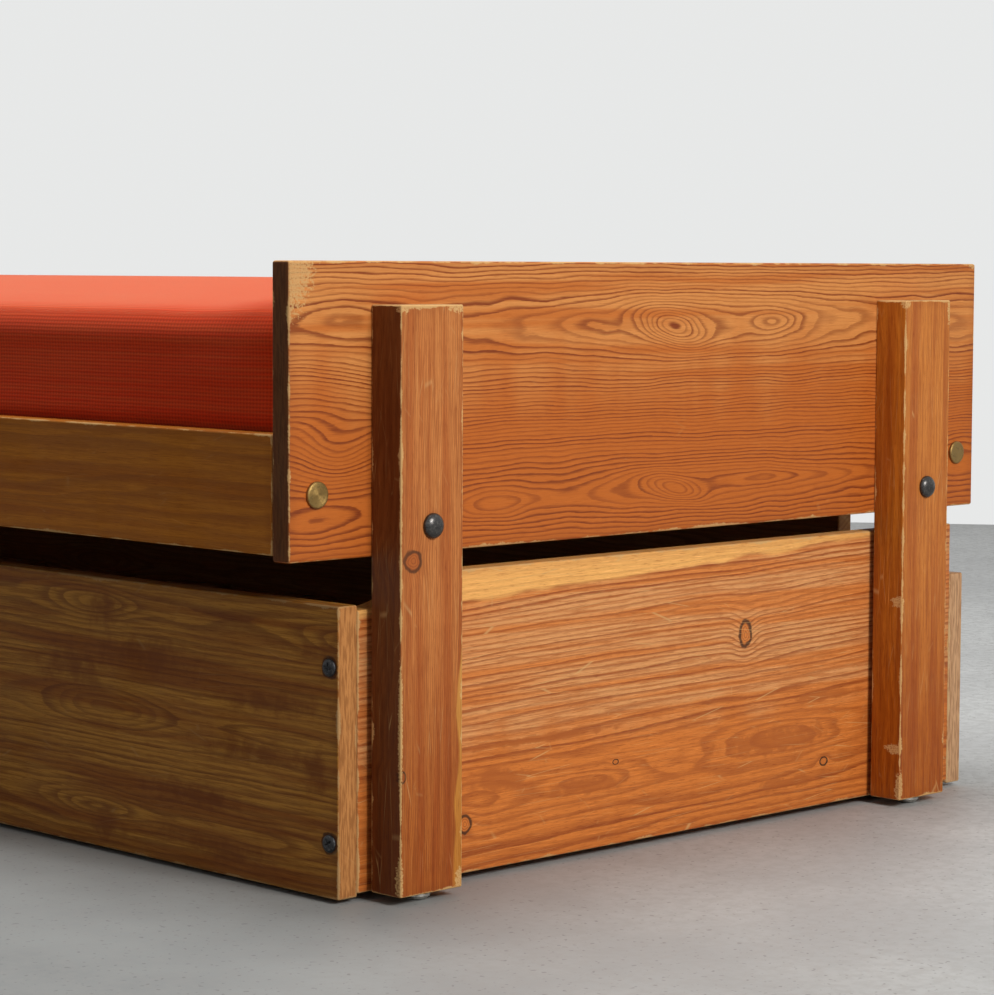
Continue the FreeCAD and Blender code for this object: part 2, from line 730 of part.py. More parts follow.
def pull_end_board(label, end):
    """An end board of the lower bed, swept down to its front board by an ogee."""
    place = (pull_inner_length * end, pull_middle - pull_half_inside, pull_end_bottom)
    body = new_body(label, place)
    outline = sketch_on(body, "YZ_Plane")
    depth = pull_half_inside * 2
    sweep = (s.ogee_run * s.ogee_run + s.ogee_drop * s.ogee_drop) / (s.ogee_drop * 4)
    low = s.pull_end_height - s.ogee_drop
    corners = [(ZERO, ZERO), (depth, ZERO), (depth, s.pull_end_height), (s.ogee_run, s.pull_end_height),
               (s.ogee_run / 2, low + s.ogee_drop / 2), (ZERO, low)]
    trace(outline, corners, {3: (sweep, -1), 4: (sweep, 1)})
    pad(body, outline, s.board_thick, backwards=end < 0)
    round_edges(body, s.board_round)
    line = s.board_thick * end / 2
    level = s.pull_floor_gap + s.corner_screw_low - pull_end_bottom
    screws = [(line, level), (line, level + corner_screw_spacing)]
    bite = s.corner_screw_length - s.board_thick + s.fit_gap
    bore(body, "XZ_Plane", NOWHERE, screws, corner_hole, bite)
    bore(body, "XZ_Plane", (ZERO, depth, ZERO), screws, corner_hole, bite, backwards=True)
    middle = pull_half_inside
    castors = [(middle + side * castor_line + across, castor_screw_level - pull_end_bottom)
               for side in (1, -1) for across in (s.castor_screw_spacing / 2, -s.castor_screw_spacing / 2)]
    pilot = s.castor_screw_length - s.bracket_thick + s.fit_gap
    bore(body, "YZ_Plane", NOWHERE, castors, screw_hole, pilot, backwards=end > 0)


def pull_ledger(label, side):
    """The strip inside the lower bed's front or back board that its slats lie on."""
    place = (ZERO, pull_middle + pull_half_inside * side, pull_ledger_bottom)
    body = new_body(label, place, half_turn=side > 0)
    outline = sketch_on(body, "XZ_Plane")
    trace_box(outline, (-pull_inner_length, ZERO), (pull_inner_length, s.pull_ledger_height))
    pad(body, outline, s.pull_ledger_thick, backwards=True)
    reach = spread(pull_screw_reach, s.ledger_screw_count)
    face = (ZERO, s.pull_ledger_thick, ZERO)
    countersink(body, "XZ_Plane", face, [(place, s.ledger_screw_rise) for place in reach], backwards=True)
    slats = slat_places(pull_inner_length * 2, s.pull_slat_width, s.pull_slat_count)
    screws = [(place, s.pull_ledger_thick / 2) for place in slats]
    top = (ZERO, ZERO, s.pull_ledger_height)
    bore(body, "XY_Plane", top, screws, screw_hole, s.slat_screw_bite + s.fit_gap)


def pull_slats():
    """The slats of the lower bed, low in its frame and clear of its castors."""
    length = (pull_half_inside - s.slat_end_gap) * 2
    places = slat_places(pull_inner_length * 2, s.pull_slat_width, s.pull_slat_count)
    for number, place in enumerate(places, start=1):
        corner = (place, pull_middle, pull_slat_bottom)
        slat(f"pull_slat_{number}", corner, length, s.pull_slat_width, s.pull_slat_thick, pull_ledger_line)


def corner_screws():
    """Round-headed cross-recess screws through the front and back boards."""
    body = new_body("corner_screws", (ZERO, pull_middle, ZERO))
    head = s.corner_head_diameter / 2
    shank = s.corner_screw_diameter / 2
    length = s.corner_screw_length
    crown = s.corner_head_height - s.corner_head_rim
    dome = (head * head + crown * crown) / (crown * 2)
    low = s.pull_floor_gap + s.corner_screw_low
    outline = [(ZERO, s.corner_head_height), (ZERO, -length), (shank, s.screw_tip - length),
               (shank, ZERO), (head, ZERO), (head, s.corner_head_rim)]
    turn(body, "XY_Plane", (corner_line, pull_half_depth, low), "V_Axis", outline, {5: (dome, -1)})
    recess = sketch_on(body, "XZ_Plane", (corner_line, pull_half_depth + s.corner_head_height, low))
    near = s.recess_width / 2
    far = s.recess_span / 2
    trace(recess, [(far, -near), (far, near), (near, near), (near, far), (-near, far), (-near, near),
                   (-far, near), (-far, -near), (-near, -near), (-near, -far), (near, -far), (near, -near)])
    pocket(body, recess, s.recess_depth, backwards=True)
    repeat(body, "Z_Axis", corner_screw_spacing, Size(2, "2"))
    mirror(body, "XZ_Plane", "YZ_Plane")


def castor_brackets():
    """Pressed plates screwed inside the end boards, one for each wheel."""
    body = new_body("castor_brackets", (ZERO, pull_middle, ZERO))
    sketch = sketch_on(body, "YZ_Plane", (pull_inner_length, castor_line, ZERO))
    half = s.bracket_width / 2
    top = s.bracket_bottom + s.bracket_height
    trace_box(sketch, (-half, s.bracket_bottom), (half, top))
    pad(body, sketch, s.bracket_thick, backwards=True)
    corner_edges = [f"Edge{number}" for number, edge in enumerate(body.Shape.Edges, start=1)
                    if abs(edge.tangentAt(edge.FirstParameter).x) > abs(edge.tangentAt(edge.FirstParameter).z)
                    and abs(edge.tangentAt(edge.FirstParameter).y) < s.fit_gap.value]
    plate = body.Tip
    feature = body.newObject("PartDesign::Fillet", "Fillet")
    feature.Base = (plate, corner_edges)
    feature.Radius = s.bracket_round.value
    bind(feature, Radius=s.bracket_round)
    settle(body, feature, grows=False)
    outer = (pull_inner_length + s.cut_overrun, castor_line, ZERO)
    through = s.bracket_thick + s.cut_overrun * 2
    bore(body, "YZ_Plane", outer, [(ZERO, axle_level)], s.axle_diameter + s.fit_gap * 2, through)
    screws = both_sides((s.castor_screw_spacing / 2, castor_screw_level))
    bore(body, "YZ_Plane", outer, screws, screw_hole, through)
    mirror(body, "XZ_Plane", "YZ_Plane")


def castor_axles():
    """Riveted stub axles with a flange that keeps the wheel on."""
    body = new_body("castor_axles", (ZERO, pull_middle, ZERO))
    radius = s.axle_diameter / 2
    flange = s.axle_flange_diameter / 2
    wheel_room = s.wheel_width + s.hub_boss_length * 2 + s.wheel_side_gap * 2
    neck = s.bracket_thick + wheel_room
    outline = [(ZERO, ZERO), (ZERO, radius), (-neck, radius), (-neck, flange),
               (-neck - s.axle_flange_thick, flange), (-neck - s.axle_flange_thick, ZERO)]
    turn(body, "XY_Plane", (pull_inner_length, castor_line, axle_level), "H_Axis", outline)
    mirror(body, "XZ_Plane", "YZ_Plane")


def castor_screws():
    """Pan-headed screws that hold the castor brackets."""
    body = new_body("castor_screws", (ZERO, pull_middle, ZERO))
    face = pull_inner_length - s.bracket_thick
    head = s.castor_head_diameter / 2
    shank = s.screw_diameter / 2
    length = s.castor_screw_length
    outline = [(-s.castor_head_height, ZERO), (-s.castor_head_height, head - s.castor_head_height / 2),
               (ZERO, head), (ZERO, shank), (length - s.screw_tip, shank), (length, ZERO)]
    near = castor_line - s.castor_screw_spacing / 2
    turn(body, "XY_Plane", (face, near, castor_screw_level), "H_Axis", outline)
    repeat(body, "Y_Axis", s.castor_screw_spacing, Size(2, "2"))
    mirror(body, "XZ_Plane", "YZ_Plane")


def castor_wheel(label, end, side):
    """One nylon wheel of the lower bed, on its stub axle."""
    inner = pull_inner_length - s.bracket_thick - s.wheel_side_gap - s.hub_boss_length
    middle = inner - s.wheel_width / 2
    body = new_body(label, (middle * end, pull_middle + castor_line * side, axle_level))
    bore_radius = s.axle_diameter / 2 + s.fit_gap
    boss = s.hub_boss_diameter / 2
    rim = s.wheel_diameter / 2
    tread = s.wheel_width / 2
    face = tread + s.hub_boss_length
    corners = [(-face, bore_radius), (face, bore_radius), (face, boss), (tread, boss),
               (tread, rim - s.wheel_round), (tread - s.wheel_round, rim),
               (s.wheel_round - tread, rim), (-tread, rim - s.wheel_round), (-tread, boss), (-face, boss)]
    turn(body, "XY_Plane", NOWHERE, "H_Axis", corners, {4: (s.wheel_round, -1), 6: (s.wheel_round, -1)})


def mattress_section(along, inset, crown):
    """A closed cross-section of the mattress: drawn-in sides, soft shoulders, a crown."""
    half = s.bed_width.value / 2 - s.mattress_side_gap.value - inset
    low_round = s.mattress_bottom_round.value
    shoulder = s.mattress_shoulder.value
    bottom = bed_slat_top.value + s.mattress_seat_gap.value + inset * low_round / shoulder
    top = bed_slat_top.value + s.mattress_seat_gap.value + s.mattress_thick.value - inset
    top -= s.mattress_crown.value
    diagonal = 1 - math.sqrt(0.5)
    draw = s.mattress_side_draw.value

    def at(across, up):
        return Vector(along, across, up)

    def side_arcs(sign):
        low = Part.Arc(at(sign * (half - low_round), bottom),
                       at(sign * (half - low_round * diagonal), bottom + low_round * diagonal),
                       at(sign * half, bottom + low_round))
        drawn = Part.Arc(at(sign * half, bottom + low_round),
                         at(sign * (half - draw), (bottom + low_round + top - shoulder) / 2),
                         at(sign * half, top - shoulder))
        soft = Part.Arc(at(sign * half, top - shoulder),
                        at(sign * (half - shoulder * diagonal), top - shoulder * diagonal),
                        at(sign * (half - shoulder), top))
        return [arc.toShape() for arc in (low, drawn, soft)]

    base = Part.makeLine(at(low_round - half, bottom), at(half - low_round, bottom))
    crest = Part.Arc(at(half - shoulder, top), at(0, top + crown), at(shoulder - half, top))
    left = side_arcs(-1)
    left.reverse()
    return Part.Wire(Part.__sortEdges__([base, *side_arcs(1), crest.toShape(), *left]))


def mattress():
    """The loose mattress, as a ruled loft through sections from end to end."""
    half = half_length.value - s.mattress_side_gap.value
    shoulder = s.mattress_shoulder.value
    crown = s.mattress_crown.value
    stations = []
    for share in CROWN_STATION_SHARES:
        stations.append((share * (half - shoulder), 0, crown * (1 - share ** 2)))
    for share in ROUNDING_ANGLE_SHARES:
        angle = share * math.pi / 2
        along = half - shoulder + shoulder * math.sin(angle)
        drawn = shoulder - shoulder * math.cos(angle)
        stations.append((along, drawn, crown * (1 - CROWN_STATION_SHARES[-1] ** 2)))
    mirrored = [(-along, drawn, rise) for along, drawn, rise in reversed(stations) if along > 0]
    sections = [mattress_section(*station) for station in mirrored + stations]
    feature = doc.addObject("Part::Feature", "mattress")
    feature.Label = "mattress"
    feature.Shape = Part.makeLoft(sections, True, True)
    feature.Placement = Placement()
    subparts.append(feature)


def upper_bed():
    """Everything that stays put: panels, rails, slats, posts and their fasteners."""
    for name, end in (("right", 1), ("left", -1)):
        end_panel(f"{name}_end_panel", end)
        post(f"{name}_front_post", end, -1)
        post(f"{name}_back_post", end, 1)
    for name, side in (("front", -1), ("back", 1)):
        rail(f"{name}_rail", side)
        ledger(f"{name}_ledger", side)
    bed_slats()
    places = slat_places(s.bed_length, s.bed_slat_width, s.bed_slat_count)
    level = ledger_bottom + s.ledger_screw_rise
    face = half_width - s.ledger_thick
    ledger_screws("ledger_screws", ZERO, face, level, ledger_screw_reach, s.ledger_thick)
    slat_screws("bed_slat_screws", ZERO, ledger_line, bed_slat_top, s.bed_slat_thick, places,
                s.bed_slat_count)
    post_bolts()
    post_bolt_washers()
    post_bolt_nuts()
    frame_dowels()
    rail_bolts()
    barrel_nuts()
    post_glides()
    mattress()


def lower_bed():
    """The bed that rolls out, with its slats, fasteners and castors."""
    far = pull_half_length
    pull_cross_board("pull_front_board", -1, [(far, pull_front_height), (-far, pull_front_height)])
    near = far - s.pull_back_step
    low = pull_back_height - s.pull_back_drop
    pull_cross_board("pull_back_board", 1, [(far, low), (near, low), (near, pull_back_height),
                                            (-near, pull_back_height), (-near, low), (-far, low)])
    pull_end_board("pull_right_board", 1)
    pull_end_board("pull_left_board", -1)
    pull_ledger("pull_front_ledger", -1)
    pull_ledger("pull_back_ledger", 1)
    pull_slats()
    places = slat_places(pull_inner_length * 2, s.pull_slat_width, s.pull_slat_count)
    level = pull_ledger_bottom + s.ledger_screw_rise
    face = pull_half_inside - s.pull_ledger_thick
    top = pull_slat_bottom + s.pull_slat_thick
    ledger_screws("pull_ledger_screws", pull_middle, face, level, pull_screw_reach, s.pull_ledger_thick)
    slat_screws("pull_slat_screws", pull_middle, pull_ledger_line, top, s.pull_slat_thick, places,
                s.pull_slat_count)
    corner_screws()
    castor_brackets()
    castor_axles()
    castor_screws()
    for end_name, end in (("right", 1), ("left", -1)):
        for side_name, side in (("front", -1), ("back", 1)):
            castor_wheel(f"{end_name}_{side_name}_wheel", end, side)


def write_parts():
    """Check every object and every solid, then write one file for each sub-part."""
    doc.recompute()
    for item in doc.Objects:
        if "Invalid" in item.State or "Error" in item.State:
            raise RuntimeError(f"{item.Label} failed: {item.State}")
    os.makedirs("parts", exist_ok=True)
    for item in subparts:
        shape = item.Shape
        if shape.isNull() or not shape.isValid():
            raise RuntimeError(f"{item.Label} has no valid shape")
        shape.exportStep(f"parts/{item.Label}.step")
        print(item.Label, len(shape.Solids), "solids", round(shape.Volume), "mm3")


upper_bed()
lower_bed()
write_parts()
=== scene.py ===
"""Dresses the pine bed bench, its red wool mattress and the lower bed that rolls out.

Every length is in metres in the mesh code, as in the frame, and in millimetres inside the
materials, where the grain of each board is drawn as contour lines of a height map.
"""

import functools
import logging
import math
from dataclasses import dataclass, replace
from enum import Enum

import bmesh
import bpy
from mathutils import Matrix, Vector


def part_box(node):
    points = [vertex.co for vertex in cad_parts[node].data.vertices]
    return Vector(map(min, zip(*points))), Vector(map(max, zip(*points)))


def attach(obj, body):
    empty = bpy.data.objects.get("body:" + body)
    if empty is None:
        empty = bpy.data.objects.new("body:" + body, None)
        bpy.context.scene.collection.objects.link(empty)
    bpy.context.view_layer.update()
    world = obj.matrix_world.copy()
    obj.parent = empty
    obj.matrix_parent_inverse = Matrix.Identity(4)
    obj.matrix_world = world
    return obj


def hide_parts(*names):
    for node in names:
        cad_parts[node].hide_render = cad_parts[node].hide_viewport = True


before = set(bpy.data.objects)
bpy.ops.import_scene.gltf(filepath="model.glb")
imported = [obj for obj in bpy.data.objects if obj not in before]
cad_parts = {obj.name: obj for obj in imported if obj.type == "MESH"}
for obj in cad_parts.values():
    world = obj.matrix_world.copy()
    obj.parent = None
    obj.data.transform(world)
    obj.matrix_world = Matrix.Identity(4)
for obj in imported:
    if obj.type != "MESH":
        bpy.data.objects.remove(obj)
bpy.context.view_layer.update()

PHOTO_WIDTH = 994
MM = 0.001
BED_SLATS = 13
PULL_SLATS = 9
NODES_IN_COLUMN = 6
NODE_COLUMN = 190
NODE_ROW = 210

log = logging.getLogger("bed bench")

Colour = tuple[float, float, float]
Feeds = dict[str | int, object]


class Run(Enum):
    """The way that a board's fibres run."""

    ALONG_BED = "x"
    ACROSS_BED = "y"
    UPRIGHT = "z"
    SLAT = "slat"


class Facing(Enum):
    """The way that a fastener's head looks out."""

    END = Vector((1, 0, 0))
    OTHER_END = Vector((-1, 0, 0))
    FRONT = Vector((0, -1, 0))
    BACK = Vector((0, 1, 0))
    UP = Vector((0, 0, 1))


# Wiring of node trees


class Wire:
    """A number on its way through a node tree; arithmetic on it adds Math nodes."""

    def __init__(self, loom: "Loom", socket: bpy.types.NodeSocket) -> None:
        """Hold a socket of the loom's tree."""
        self.loom = loom
        self.socket = socket

    def __add__(self, other: "Wire | float") -> "Wire":
        """Sum."""
        return self.loom.math("ADD", self, other)

    def __sub__(self, other: "Wire | float") -> "Wire":
        """Difference."""
        return self.loom.math("SUBTRACT", self, other)

    def __rsub__(self, other: float) -> "Wire":
        """Difference from a plain number."""
        return self.loom.math("SUBTRACT", other, self)

    def __mul__(self, other: "Wire | float") -> "Wire":
        """Product."""
        return self.loom.math("MULTIPLY", self, other)

    def __truediv__(self, other: "Wire | float") -> "Wire":
        """Quotient."""
        return self.loom.math("DIVIDE", self, other)


Axes = tuple[Wire, Wire, Wire]


class Loom:
    """Wires the nodes of one material, world, group or geometry tree."""

    def __init__(self, tree: bpy.types.NodeTree) -> None:
        """Start on a tree whose nodes are placed in columns as they are made."""
        self.tree = tree
        self.made = 0

    def node(self, kind: str, inputs: Feeds | None = None, **settings: object) -> bpy.types.Node:
        """Add a node, set its properties and feed its inputs.

        Args:
            kind: The node's type name.
            inputs: Wires or plain values by the sockets' names or numbers.
            settings: Properties of the node by name.

        Returns:
            The new node.
        """
        node = self.tree.nodes.new(kind)
        for name, value in settings.items():
            setattr(node, name, value)
        for name, value in (inputs or {}).items():
            self.feed(node.inputs[name], value)
        column, row = divmod(self.made, NODES_IN_COLUMN)
        node.location = (NODE_COLUMN * column, -NODE_ROW * row)
        self.made += 1
        return node

    def feed(self, socket: bpy.types.NodeSocket, value: object) -> None:
        """Link a wire into a socket, or set the socket to a plain value.

        Args:
            socket: The input socket.
            value: A wire, a number, a word, a vector or a colour.
        """
        if isinstance(value, Wire):
            self.tree.links.new(value.socket, socket)
            return
        if socket.type == "RGBA" and len(value) == 3:
            value = (*value, 1.0)
        socket.default_value = value

    def wire(self, kind: str, inputs: Feeds | None = None, output: str | int = 0, **settings: object) -> Wire:
        """Add a node and return one of its outputs, by name or number."""
        return Wire(self, self.node(kind, inputs, **settings).outputs[output])

    def math(self, operation: str, *terms: "Wire | float") -> Wire:
        """Add a Math node over one to three terms."""
        return self.wire("ShaderNodeMath", dict(enumerate(terms)), operation=operation)

    def vector(self, operation: str, first: object, second: object) -> Wire:
        """Add a Vector Math node over two terms, the second a number where the operation is SCALE."""
        second_socket = "Scale" if operation == "SCALE" else 1
        return self.wire("ShaderNodeVectorMath", {0: first, second_socket: second}, operation=operation)

    def split(self, vector: Wire) -> Axes:
        """Take a vector apart into X, Y and Z."""
        node = self.node("ShaderNodeSeparateXYZ", {0: vector})
        return tuple(Wire(self, out) for out in node.outputs)

    def join(self, x: object, y: object, z: object) -> Wire:
        """Make a vector of three numbers."""
        return self.wire("ShaderNodeCombineXYZ", {0: x, 1: y, 2: z})

    def noise(self, place: Wire, scale: float, detail: float = 2.0, rough: float = 0.5,
              solid: bool = False) -> Wire:
        """Add Perlin noise over X and Y, or over all three axes, and return its grey value, around 0.5."""
        inputs = {"Vector": place, "Scale": scale, "Detail": detail, "Roughness": rough}
        return self.wire("ShaderNodeTexNoise", inputs, noise_dimensions="3D" if solid else "2D")

    def cell_edges(self, place: Wire, scale: float) -> Wire:
        """Add flat Voronoi cells and return the distance to the nearest cell's edge."""
        settings = {"feature": "DISTANCE_TO_EDGE", "voronoi_dimensions": "2D"}
        return self.wire("ShaderNodeTexVoronoi", {"Vector": place, "Scale": scale}, "Distance", **settings)

    def smooth(self, value: object, low: object, high: object) -> Wire:
        """Rise smoothly from 0 to 1 while the value goes from low to high."""
        inputs = {"Value": value, "From Min": low, "From Max": high}
        return self.wire("ShaderNodeMapRange", inputs, interpolation_type="SMOOTHSTEP")

    def mix(self, share: object, first: object, second: object, blend: str = "MIX") -> Wire:
        """Mix two colours, which are inputs 6 and 7 of a Mix node, into the colour that is its output 2."""
        settings = {"data_type": "RGBA", "blend_type": blend, "clamp_result": False}
        return self.wire("ShaderNodeMix", {0: share, 6: first, 7: second}, 2, **settings)

    def tint(self, colour: object, tint: object) -> Wire:
        """Multiply a colour by a tint."""
        return self.mix(1.0, colour, tint, "MULTIPLY")

    def group(self, tree: bpy.types.NodeTree, **inputs: object) -> dict[str, Wire]:
        """Place a shared group, with its inputs by name, and return its outputs by name."""
        node = self.node("ShaderNodeGroup", inputs, node_tree=tree)
        return {out.name: Wire(self, out) for out in node.outputs}

    def bump(self, height: Wire, strength: float, distance: float) -> Wire:
        """Turn a height into a normal."""
        return self.wire("ShaderNodeBump", {"Strength": strength, "Distance": distance, "Height": height})

    def surface(self, colour: Wire, rough: object, normal: Wire, **fixed: object) -> None:
        """Finish a material with a Principled shader.

        Args:
            colour: The base colour.
            rough: The roughness.
            normal: The bumped normal.
            fixed: Further sockets by name, with underscores for spaces, set to plain values.
        """
        fed = {"Base Color": colour, "Roughness": rough, "Normal": normal}
        plain = {name.replace("_", " "): value for name, value in fixed.items()}
        shader = self.wire("ShaderNodeBsdfPrincipled", fed | plain)
        self.node("ShaderNodeOutputMaterial", {"Surface": shader})


def new_material(name: str) -> tuple[bpy.types.Material, Loom]:
    """Start an empty node material.

    Args:
        name: The material's name.

    Returns:
        The material and its loom.
    """
    material = bpy.data.materials.new(name)
    material.use_nodes = True
    material.node_tree.nodes.clear()
    return material, Loom(material.node_tree)


def new_group(name: str, takes: dict[str, str], gives: dict[str, str],
              kind: str = "ShaderNodeTree") -> tuple[Loom, dict[str, Wire], dict[str, bpy.types.NodeSocket]]:
    """Start a shader group or a geometry tree with named sockets.

    Args:
        name: The group's name.
        takes: Input names and the kinds of their sockets, such as Float or Vector.
        gives: Output names and the kinds of their sockets.
        kind: The kind of tree.

    Returns:
        The loom, the inputs as wires by name, and the output sockets by name.
    """
    tree = bpy.data.node_groups.new(name, kind)
    for names, side in ((takes, "INPUT"), (gives, "OUTPUT")):
        for label, socket in names.items():
            tree.interface.new_socket(name=label, in_out=side, socket_type=f"NodeSocket{socket}")
    loom = Loom(tree)
    start = loom.node("NodeGroupInput")
    end = loom.node("NodeGroupOutput")
    inputs = {label: Wire(loom, start.outputs[label]) for label in takes}
    return loom, inputs, {label: end.inputs[label] for label in gives}


def place_in_mm(loom: Loom) -> Wire:
    """The shaded point's place in the object, in millimetres."""
    return loom.vector("SCALE", loom.wire("ShaderNodeTexCoord", output="Object"), 1 / MM)


# Shared effects

PORE_TINT = (0.66, 0.52, 0.42)
BLEACHED_TINT = (1.3, 1.42, 1.6)


@functools.cache
def pine_group() -> bpy.types.NodeTree:
    """Growth rings, fibres and slow colour changes of pine.

    Returns:
        A group that turns a count of rings into colour and roughness.
    """
    takes = {"Rings": "Float", "Fibre": "Vector", "Early": "Color", "Late": "Color", "Warm": "Color",
             "Depth": "Float", "Edge": "Float", "Streaks": "Float", "Flame": "Float"}
    loom, inputs, out = new_group("pine rings", takes, {"Color": "Color", "Roughness": "Float"})
    fibre, streaks = inputs["Fibre"], inputs["Streaks"]
    fine = loom.noise(fibre, 1.0, 3.0, 0.62)
    grit = loom.noise(fibre, 3.2, 2.0, 0.7)
    rings = inputs["Rings"] + (fine - 0.5) * 0.12 + (grit - 0.5) * 0.26
    turn = loom.math("FRACT", rings)
    late = loom.smooth(turn, inputs["Edge"], 0.86) * (1.0 - loom.smooth(turn, 0.92, 1.0))
    number = loom.math("FLOOR", rings)
    year = loom.wire("ShaderNodeTexWhiteNoise", {"W": number}, "Value", noise_dimensions="1D")
    shade = late * (year * 0.65 + 0.42) * inputs["Depth"] * (fine * 0.7 + 0.65)
    patches = loom.smooth(loom.noise(fibre, 0.11, 2.0, 0.55), 0.42, 0.68)
    ground = loom.mix(patches * 0.8, inputs["Early"], inputs["Warm"])
    wood = loom.mix(loom.math("MINIMUM", shade, 1.0), ground, inputs["Late"])
    flame = loom.smooth(loom.noise(fibre, 0.62, 3.0, 0.68), 0.48, 0.62)
    wood = loom.mix(flame * inputs["Flame"], wood, loom.mix(0.55, inputs["Warm"], inputs["Late"]))
    pores = loom.smooth(grit, 0.56, 0.74)
    wood = loom.mix(pores * streaks, wood, loom.tint(wood, PORE_TINT))
    light = loom.smooth(loom.noise(fibre, 1.9, 2.0, 0.6), 0.56, 0.8)
    wood = loom.mix(light * streaks * 0.8, wood, loom.tint(wood, BLEACHED_TINT))
    loom.feed(out["Color"], wood)
    loom.feed(out["Roughness"], fine * 0.14 - late * 0.06 + 0.45)
    return loom.tree


@functools.cache
def relief_group() -> bpy.types.NodeTree:
    """The faint relief of pine fibres under a thin finish.

    Returns:
        A group that puts out a height.
    """
    loom, inputs, out = new_group("fibre relief", {"Fibre": "Vector"}, {"Height": "Float"})
    loom.feed(out["Height"], loom.noise(inputs["Fibre"], 1.4, 2.0, 0.6))
    return loom.tree


@functools.cache
def worn_edges_group() -> bpy.types.NodeTree:
    """Wear along the arrises of a board, from its distance to the nearest edge of its box.

    Returns:
        A group that puts out a mask, 1 where the finish has gone, and one that fades out 14 mm from the edge.
    """
    takes = {"Place": "Vector", "Flat": "Vector", "Low": "Vector", "High": "Vector",
             "Reach": "Float", "Seed": "Float"}
    loom, inputs, out = new_group("worn edges", takes, {"Wear": "Float", "Near": "Float"})
    below = loom.split(loom.vector("SUBTRACT", inputs["Place"], inputs["Low"]))
    above = loom.split(loom.vector("SUBTRACT", inputs["High"], inputs["Place"]))
    a, b, c = (loom.math("MINIMUM", low, high) for low, high in zip(below, above))
    inner = loom.math("MINIMUM", loom.math("MAXIMUM", a, b), c)
    edge = loom.math("MAXIMUM", loom.math("MINIMUM", a, b), inner)
    moved = loom.vector("ADD", inputs["Flat"], loom.join(inputs["Seed"], inputs["Seed"], 0.0))
    coarse = loom.noise(moved, 0.03, 2.0, 0.6)
    ragged = loom.noise(moved, 0.38, 2.0, 0.65)
    reach = inputs["Reach"] * loom.math("POWER", coarse * 1.9, 3.0) * (ragged * 1.5 + 0.2)
    loom.feed(out["Wear"], 1.0 - loom.smooth(edge, reach * 0.55, reach + 0.25))
    loom.feed(out["Near"], 1.0 - loom.smooth(edge, 0.0, 14.0))
    return loom.tree


@functools.cache
def marks_group() -> bpy.types.NodeTree:
    """Thin scratches and rubbed spots of long use.

    Returns:
        A group that puts out a mask of pale marks and a mask of dull rubbing.
    """
    loom, inputs, out = new_group("marks of use", {"Flat": "Vector", "Amount": "Float"},
                                  {"Scratches": "Float", "Rub": "Float"})
    flat = inputs["Flat"]
    leans_stretches_strengths = ((0.06, 0.05, 1.0), (-0.8, 0.10, 0.3), (1.15, 0.09, 0.3))
    marks = []
    for number, (lean, stretch, strength) in enumerate(leans_stretches_strengths):
        turned = loom.wire("ShaderNodeMapping", {
            "Vector": flat, "Rotation": (0.0, 0.0, lean), "Scale": (stretch, 1.0, 1.0),
            "Location": (31.0 * number, 17.0 * number, 0.0)})
        line = 1.0 - loom.smooth(loom.cell_edges(turned, 0.12), 0.0, 0.024)
        spread = loom.noise(flat, 0.021 + 0.006 * number, 1.0, 0.5)
        marks.append(line * loom.smooth(spread, 0.47 + 0.07 * number, 0.66) * strength)
    scratches = functools.reduce(functools.partial(loom.math, "MAXIMUM"), marks)
    loom.feed(out["Scratches"], scratches * inputs["Amount"])
    loom.feed(out["Rub"], loom.smooth(loom.noise(flat, 0.012, 2.0, 0.5), 0.5, 0.72))
    return loom.tree


@functools.cache
def knit_group() -> bpy.types.NodeTree:
    """Courses and wales of a fine wool knit, on the sides and over the top.

    Returns:
        A group that puts out the loops' height, the gaps between them and a slow change of tone.
    """
    takes = {"Place": "Vector", "Normal": "Vector", "Course": "Float", "Wale": "Float"}
    loom, inputs, out = new_group("wool knit", takes, {"Height": "Float", "Gaps": "Float", "Tone": "Float"})
    x, y, z = loom.split(inputs["Place"])
    nx, _, nz = (loom.math("ABSOLUTE", item) for item in loom.split(inputs["Normal"]))
    top = loom.smooth(nz, 0.62, 0.78)
    end = loom.smooth(nx, 0.62, 0.78)
    wander = (loom.noise(inputs["Place"], 0.008, 1.0, 0.5, solid=True) - 0.5) * 3.0
    across = z + (y - z) * top + wander
    along = x + (y - x) * end * (1.0 - top)
    course = loom.math("SINE", across * math.tau / inputs["Course"])
    wale = loom.math("SINE", along * math.tau / inputs["Wale"])
    loops = course * 0.5 + 0.5
    stitch = wale * 0.34 + 0.5
    fuzz = loom.noise(inputs["Place"], 1.3, 1.0, 0.7, solid=True)
    loom.feed(out["Height"], (loops * 0.55 + 0.45) * (stitch * 0.5 + 0.5) * 0.8 + fuzz * 0.3)
    loom.feed(out["Gaps"], (1.0 - loops) * (1.0 - stitch))
    loom.feed(out["Tone"], loom.noise(loom.join(along * 0.004, across * 0.22, 0.0), 1.0, 3.0, 0.6))
    return loom.tree


@functools.cache
def patina_group() -> bpy.types.NodeTree:
    """Handling marks and dull spots on small metal parts.

    Returns:
        A group that puts out a mask of spots and a fine roughness change.
    """
    loom, inputs, out = new_group("metal patina", {"Place": "Vector", "Scale": "Float"},
                                  {"Spots": "Float", "Grain": "Float"})
    place, scale = inputs["Place"], inputs["Scale"]
    loom.feed(out["Spots"], loom.smooth(loom.noise(place, scale, 2.0, 0.65, solid=True), 0.5, 0.7))
    loom.feed(out["Grain"], loom.noise(place, scale * 6.0, 1.0, 0.6, solid=True))
    return loom.tree


# Pine

